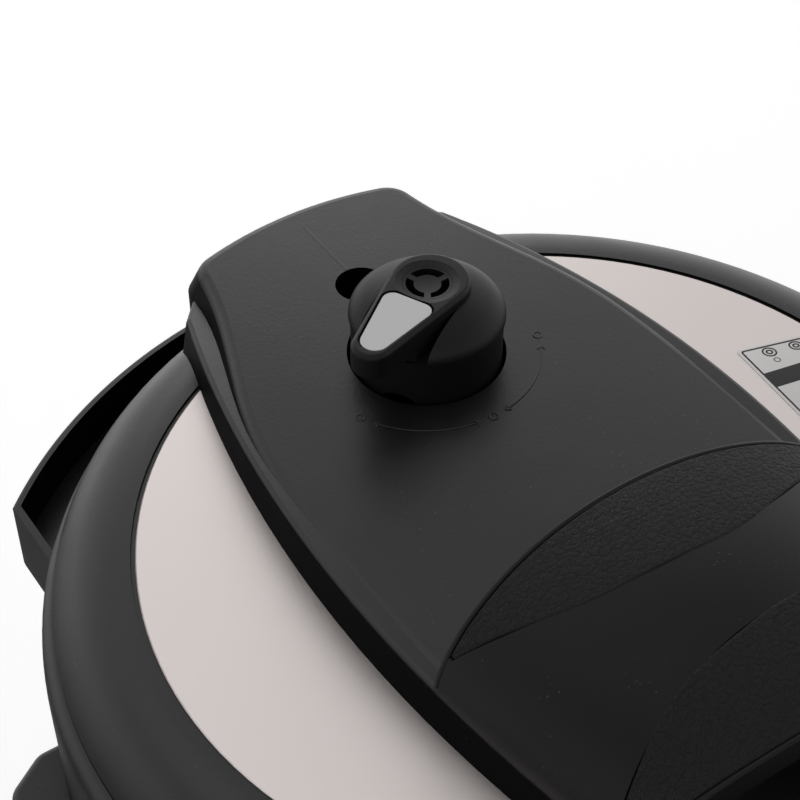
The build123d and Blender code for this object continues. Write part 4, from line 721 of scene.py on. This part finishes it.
def grip_pad(name, low, high, low_bow, high_bow, low_wave=0.0, high_wave=0.0):
    """A closed pad between two bowed lines, with rounded rims and a hide's relief."""
    foot = math.asin(
        (HANDLE["foot"] - HANDLE["spring"]) / (HANDLE["rise"] - 0.7 * HANDLE["edge_drop"])
    )
    turn = np.linspace(foot, math.pi - foot, PAD_STATIONS)[:, None]
    share = np.linspace(0.0, 1.0, PAD_POINTS)[None, :]
    aside = HANDLE["side"] * np.cos(turn) + 0 * share
    for _ in range(SETTLE_STEPS):
        ripple = 1 + np.sin(PAD_RIPPLE * aside)
        near_line = low + low_bow * aside**2 - low_wave * ripple
        far_line = high + high_bow * aside**2 + high_wave * ripple
        x = near_line * (1 - share) + far_line * share
        outside = arch(x, turn + 0 * share)
        aside = outside[..., 1]
    along = np.gradient(outside, axis=0)
    across = np.gradient(outside, axis=1)
    normal = unit(np.cross(across, along))
    normal *= np.sign(normal[..., 2:3])
    run = np.cumsum(np.linalg.norm(along[:, PAD_POINTS // 2], axis=-1))[:, None]
    width = np.abs(outside[:, -1:, 0] - outside[:, :1, 0])
    to_side = np.minimum(share, 1 - share) * width
    to_end = np.minimum(run, run[-1] - run)
    rim = np.clip(1 - np.minimum(to_side, to_end) / PAD_RIM, 0, 1) ** 2
    coarse = creases(x / HIDE_CELL, run / (1.25 * HIDE_CELL))
    fine = creases(x / (0.45 * HIDE_CELL) + 7, run / (0.45 * HIDE_CELL))
    relief = -HIDE_DEPTH * (coarse + 0.45 * fine) * (1 - rim)
    height = PAD_PROUD - (PAD_PROUD + PAD_SINK) * rim + relief
    top = outside + height[..., None] * normal
    under = outside - PAD_UNDER * normal
    return loft(name, np.concatenate([top, under[:, ::-8]], axis=1), finishes["grained_pad"])


# %% Pads
PAD_STATIONS = 520
PAD_POINTS = 96
PAD_PROUD = 0.0003
PAD_SINK = 0.0004
PAD_RIM = 0.0009
PAD_UNDER = 0.0011
PAD_WAVE = 0.0006
PAD_RIPPLE = 135.0
HIDE_CELL = 0.0021
HIDE_DEPTH = 0.00016

near_low = HANDLE["middle"] - HANDLE["half_length"] + HANDLE["border"]
near_high = HANDLE["middle"] - HANDLE["half_length"] + HANDLE["pad_width"]
far_low, far_high = 2 * HANDLE["middle"] - near_high, 2 * HANDLE["middle"] - near_low
for name, lines in (
    ("hide_rear", (near_low, near_high, HANDLE["edge_bow"], -HANDLE["pad_bow"], 0.0, PAD_WAVE)),
    ("hide_front", (far_low, far_high, HANDLE["pad_bow"], -HANDLE["edge_bow"], PAD_WAVE, 0.0)),
):
    pad = grip_pad(name, *lines)
    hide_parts(name.replace("hide", "grip_pad"))
    print(name, len(pad.data.vertices), "vertices")

# %% [markdown]
# ## Beads along the handle's rims
#
# The handle's two open rims end in a fine rounded bead, the bright line beside each pad.

# %% Rim beads
BEAD_HALF_WIDTH = 0.00062
BEAD_HEIGHT = 0.0003
BEAD_INSET = 0.00066
BEAD_END = 0.12

turn = np.linspace(BEAD_END, math.pi - BEAD_END, 181)
for name, edge, sign in (("rear", -1, 1), ("front", 1, -1)):
    start = HANDLE["middle"] + edge * (HANDLE["half_length"] - BEAD_INSET)
    aside = HANDLE["side"] * np.cos(turn)
    for _ in range(SETTLE_STEPS):
        line = arch(start + sign * HANDLE["edge_bow"] * aside**2, turn)
        aside = line[:, 1]
    outward = unit(
        np.column_stack(
            [0 * turn, np.cos(turn) / HANDLE["side"], np.sin(turn) / HANDLE["rise"]]
        )
    )
    loft(
        f"rim_bead_{name}", ridge(line, outward, BEAD_HALF_WIDTH, BEAD_HEIGHT),
        finishes["grip_black"],
    )
print("beads on both rims")

# %% [markdown]
# ## The plate on the disc
#
# A thin plate lies on the steel disc beside the spine, slightly turned. It narrows towards
# the disc's rim, and has rounded corners, a printed border and one plain dark band. It
# has no words.

# %% Disc plate
PLATE_TURN = math.radians(-5.1)
PLATE_HALF_LENGTH = 0.0363
PLATE_MIDDLE = 0.1037
PLATE_HALF_WIDTH = 0.0121
PLATE_CORNER = 0.0016
PLATE_THICK = 0.00022
PLATE_TAPER = 5.35
PLATE_MARGIN = 0.0013
PLATE_SUNK = 0.0001
PLATE_BEVEL = 0.0002
PRINT_HEIGHT = 0.00005
PRINT_SUNK = 0.00001
BORDER_CORNER = 0.0009
BORDER_LINE = 0.00036
BAND_X = -0.0195
BAND_LINE = 0.0037


def rounded_rectangle(half_length, half_width, corner, points=12):
    """Plan outline of a rectangle with rounded corners, about the origin."""
    turn = np.linspace(0, math.pi / 2, points)
    quarter = np.stack([np.cos(turn), np.sin(turn)], axis=1) * corner
    core = np.array([half_length - corner, half_width - corner])
    outline = []
    for step, signs in enumerate(((1, 1), (-1, 1), (-1, -1), (1, -1))):
        spin = step * math.pi / 2
        cosine, sine = math.cos(spin), math.sin(spin)
        turned = quarter @ np.array([[cosine, sine], [-sine, cosine]])
        outline.append(turned + core * np.array(signs))
    return np.concatenate(outline)


def on_disc(plan, height):
    """Plate coordinates, narrowed towards the rim and turned into place on the disc."""
    ahead = np.array([math.cos(PLATE_TURN), math.sin(PLATE_TURN)])
    outwards = np.array([-ahead[1], ahead[0]])
    narrowed = plan[:, :1] * (1 - PLATE_TAPER * (plan[:, 1:] + PLATE_HALF_WIDTH))
    spot = narrowed * ahead + (plan[:, 1:] + PLATE_MIDDLE) * outwards
    return np.column_stack([spot, np.full(len(plan), disc_top + height)])


rims = []
for inset, height in (
    (0.0, -PLATE_SUNK), (0.0, 0.7 * PLATE_THICK), (PLATE_BEVEL, PLATE_THICK),
):
    outline = rounded_rectangle(
        PLATE_HALF_LENGTH - inset, PLATE_HALF_WIDTH - inset, PLATE_CORNER - inset
    )
    rims.append(on_disc(outline, height))
loft("disc_plate", np.stack(rims), finishes["plate_face"])


def print_on_plate(name, plan, half_width, closed=True):
    """One printed line on the plate."""
    path = on_disc(plan, PLATE_THICK - PRINT_SUNK)
    sections = ridge(path, (0, 0, 1), half_width, PRINT_HEIGHT, closed=closed)
    loft(f"plate_{name}", sections, finishes["plate_line"], closed=closed)


inner_length = PLATE_HALF_LENGTH - PLATE_MARGIN
inner_width = PLATE_HALF_WIDTH - PLATE_MARGIN
border = rounded_rectangle(inner_length, inner_width, BORDER_CORNER)
print_on_plate("border", border, BORDER_LINE)
band = np.column_stack([np.full(17, BAND_X), np.linspace(-inner_width, inner_width, 17)])
print_on_plate("band", band, BAND_LINE, closed=False)
print("plate with its border and band")

# %% [markdown]
# Each dial is the valve seen from above: a ring for the knob, a ring for its hub, and a
# small ring at the end where the pointer's tip stands.

# %% Dials on the plate
DIAL_X = -0.0320
DIAL_RADIUS = 0.0021
HUB_RADIUS = 0.0009
TIP_RADIUS = 0.0010
TIP_REACH = 0.0044
DIAL_LINE = 0.00032
TIP_LINE = 0.00018

for label, side, tip in (("low", -0.0027, 0.0), ("high", 0.0068, math.radians(75))):
    dial_middle = np.array([DIAL_X, side])
    tip_middle = dial_middle + TIP_REACH * np.array([math.cos(tip), math.sin(tip)])
    print_on_plate(f"dial_{label}", around(full_turn, DIAL_RADIUS, dial_middle), DIAL_LINE)
    print_on_plate(f"hub_{label}", around(full_turn, HUB_RADIUS, dial_middle), DIAL_LINE)
    print_on_plate(f"tip_{label}", around(full_turn, TIP_RADIUS, tip_middle), TIP_LINE)
print("two dials on the plate")

# %% [markdown]
# ## Handle lips
#
# The outer top edge of each carrying handle is a small round. A fine lip with that round
# runs along it on the true circle, so that the handle's outline is smooth up close.

# %% Handle lips
LIP_ROUND = 0.001
LIP_PROUD = 0.00003
LIP_INSET = 0.0016
LIP_DEPTH = 0.0025
LIP_STATIONS = 241

lip_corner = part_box("side_handle_right")[1]
quarter = np.linspace(0.0, math.pi / 2, 7)
lip_out = np.concatenate([[-LIP_INSET], LIP_ROUND * (np.sin(quarter) - 1), [0.0, -LIP_ROUND]])
lip_up = np.concatenate(
    [[LIP_PROUD], LIP_ROUND * (np.cos(quarter) - 1) + LIP_PROUD, [-LIP_DEPTH, -LIP_DEPTH]]
)
for name, facing in (("left", math.pi), ("right", 0.0)):
    reach = math.asin(lip_corner.y / lip_corner.x)
    angles = facing + np.linspace(-reach, reach, LIP_STATIONS)
    away = lip_corner.x + lip_out
    lip_sections = np.stack(
        [
            np.cos(angles)[:, None] * away,
            np.sin(angles)[:, None] * away,
            np.broadcast_to(lip_corner.z + lip_up, (LIP_STATIONS, len(away))),
        ],
        axis=-1,
    )
    loft(f"handle_lip_{name}", lip_sections, finishes["black_shell"], body="base")
print("lips on both carrying handles, radius", round(lip_corner.x, 4))

# %% [markdown]
# ## Signs on the control panel
#
# Each key has a printed ring on the membrane, and each key of the two outer rows has a
# small plain sign beside it: shapes such as a cross, a bar, a clock or a bowl, and no words.

# %% Panel signs
SIGN_SIZE = 0.0026
SIGN_LINE = 0.00022
SIGN_HEIGHT = 0.00006
KEY_RING = 0.0066
KEY_ROWS = 5
KEY_HALF = 0.003
SIGN_INSET = 0.0125
FILM_SUNK = 0.0005
WINDOW_MARGIN = 0.0014
WINDOW_CORNER = 0.002

keys_low, keys_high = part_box("key_switches")
film_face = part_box("control_overlay")[0].y + FILM_SUNK
key_rows = np.linspace(keys_low.z + KEY_HALF, keys_high.z - KEY_HALF, KEY_ROWS)
key_columns = (keys_low.x + KEY_HALF, keys_high.x - KEY_HALF)


def turning(start, end, points=25, radius=1.0, centre=(0.0, 0.0)):
    """Points of an arc in sign units, between two angles in turns."""
    return around(np.linspace(start, end, points) * 2 * math.pi, radius, centre)


def stroke(*corners):
    """A polyline in sign units with a few points on each side."""
    corners = np.array(corners, float)
    pieces = [np.linspace(a, b, 6)[:-1] for a, b in zip(corners[:-1], corners[1:])]
    return np.concatenate(pieces + [corners[-1:]])


def printed(name, plan, centre):
    """One printed line on the membrane, given in sign units about a centre."""
    spots = np.column_stack(
        [centre[0] + plan[:, 0], np.full(len(plan), film_face), centre[1] + plan[:, 1]]
    )
    sections = ridge(spots, (0, -1, 0), SIGN_LINE, SIGN_HEIGHT)
    loft(name, sections, finishes["sign_print"], body="base")


SIGNS = [
    [stroke((-1, 0), (1, 0)), stroke((0, -1), (0, 1))],
    [stroke((-1, 0), (1, 0))],
    [turning(0, 1), stroke((0, 0.6), (0, 0), (0.5, 0))],
    [turning(0.5, 1), stroke((-1, 0), (1, 0))],
    [stroke((-0.7, -0.9), (0.9, 0), (-0.7, 0.9), (-0.7, -0.9))],
    [stroke((-0.8, -0.8), (0.8, -0.8), (0.8, 0.8), (-0.8, 0.8), (-0.8, -0.8))],
    [turning(0.0, 0.5, 13, 0.5, (-0.5, 0)), turning(0.5, 1.0, 13, 0.5, (0.5, 0))],
    [stroke((-1, -0.8), (-1, 0.2)), stroke((0, -0.8), (0, 0.6)), stroke((1, -0.8), (1, 1))],
    [turning(0.0, 1.0, 25, 0.6), stroke((0, 0.6), (0, 1))],
    [stroke((-0.8, -0.4), (0, 0.6), (0.8, -0.4))],
]
for column, key_x in enumerate(key_columns):
    for row, key_z in enumerate(key_rows):
        printed(f"key_ring_{column}_{row}", turning(0, 1, 41) * KEY_RING, (key_x, key_z))
        sign_x = key_x + (SIGN_INSET if column == 0 else -SIGN_INSET)
        for line, plan in enumerate(SIGNS[KEY_ROWS * column + row]):
            printed(f"sign_{column}_{row}_{line}", plan * SIGN_SIZE, (sign_x, key_z))
for row in (0, 2):
    printed(f"key_ring_middle_{row}", turning(0, 1, 41) * KEY_RING, (0.0, key_rows[row]))
window_low, window_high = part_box("display_window")
window_half = (window_high - window_low) / 2
frame_line = rounded_rectangle(
    window_half.x + WINDOW_MARGIN, window_half.z + WINDOW_MARGIN, WINDOW_CORNER
)
frame_line = np.concatenate([frame_line, frame_line[:1]])
printed("window_frame", frame_line, (0.0, middle_of("display_window").z))
print("signs on the panel")

# %% [markdown]
# ## Floor, room and lamps
#
# A plain white room: the floor and the world look white to the camera, while the light
# that they shed on the object stays moderate. In reflections the room is brightest low
# down, like a lit backdrop, and dimmer overhead.

# %% Room
FLOOR_SIZE = 3.0
PAPER_GLOW = 0.5
ROOM_LIGHT = 0.5
BACKDROP_LIGHT = 1.15
BACKDROP_TOP = math.radians(33)
CEILING_LIGHT = 0.72
CEILING_EDGE = math.radians(48)


def seen_straight(tree):
    """Light path outputs, and 1 for rays from the camera, a mirror or a clear piece."""
    seen = put(tree, "ShaderNodeLightPath").outputs
    bounced = math_node(tree, "MAXIMUM", seen["Is Glossy Ray"], seen["Is Transmission Ray"])
    return seen, math_node(tree, "MAXIMUM", seen["Is Camera Ray"], bounced)


floor_mesh = bpy.data.meshes.new("floor")
half = FLOOR_SIZE / 2
floor_mesh.from_pydata(
    [(-half, -half, 0.0), (half, -half, 0.0), (half, half, 0.0), (-half, half, 0.0)],
    [], [(0, 1, 2, 3)],
)
floor = bpy.data.objects.new("floor", floor_mesh)
bpy.context.scene.collection.objects.link(floor)

floor_material = bpy.data.materials.new("floor")
floor_material.use_nodes = True
tree = floor_material.node_tree
tree.nodes.clear()
paper = put(tree, "ShaderNodeBsdfDiffuse", {"Color": (0.8, 0.8, 0.8, 1.0)}).outputs[0]
glow = put(
    tree, "ShaderNodeEmission", {"Color": (1, 1, 1, 1), "Strength": PAPER_GLOW}
).outputs[0]
seen, direct = seen_straight(tree)
lit = put(tree, "ShaderNodeAddShader", {0: paper, 1: glow}).outputs[0]
floor_shader = put(tree, "ShaderNodeMixShader", {0: direct, 1: paper, 2: lit}).outputs[0]
put(tree, "ShaderNodeOutputMaterial", {0: floor_shader})
floor_mesh.materials.append(floor_material)

world = bpy.data.worlds.new("room")
bpy.context.scene.world = world
world.use_nodes = True
tree = world.node_tree
tree.nodes.clear()
seen, direct = seen_straight(tree)
upwards = put(
    tree, "ShaderNodeSeparateXYZ", {0: put(tree, "ShaderNodeTexCoord").outputs["Generated"]}
).outputs["Z"]
mirrored = remap(
    tree, upwards, math.sin(BACKDROP_TOP), math.sin(CEILING_EDGE), BACKDROP_LIGHT, CEILING_LIGHT
)
shed = remap(tree, direct, 0.0, 1.0, ROOM_LIGHT, mirrored)
strength = math_node(tree, "MAXIMUM", shed, seen["Is Camera Ray"])
room = put(
    tree, "ShaderNodeBackground", {"Color": (1, 1, 1, 1), "Strength": strength}
).outputs[0]
put(tree, "ShaderNodeOutputWorld", {0: room})
print("floor and room are white to the camera")

# %% [markdown]
# Three soft round lamps: a large one overhead gives form, one low behind brings out the
# spine's rear end and the far rims, and one in front opens the shadows.

# %% Lamps
LAMP_AIM = Vector((0, 0, 0.2))
LAMPS = {
    "overhead": ((-0.5, -0.3, 1.6), 1.2, 2.0),
    "behind": ((-1.1, 0.45, 0.8), 0.7, 1.3),
    "front": ((1.0, -1.0, 1.0), 1.0, 1.0),
}
for name, (place, size, power) in LAMPS.items():
    lamp_data = bpy.data.lights.new(name, "AREA")
    lamp_data.shape = "DISK"
    lamp_data.size = size
    lamp_data.energy = power
    lamp = bpy.data.objects.new(name, lamp_data)
    lamp.location = place
    lamp.rotation_euler = (Vector(place) - LAMP_AIM).to_track_quat("Z", "Y").to_euler()
    bpy.context.scene.collection.objects.link(lamp)
print(len(LAMPS), "lamps")
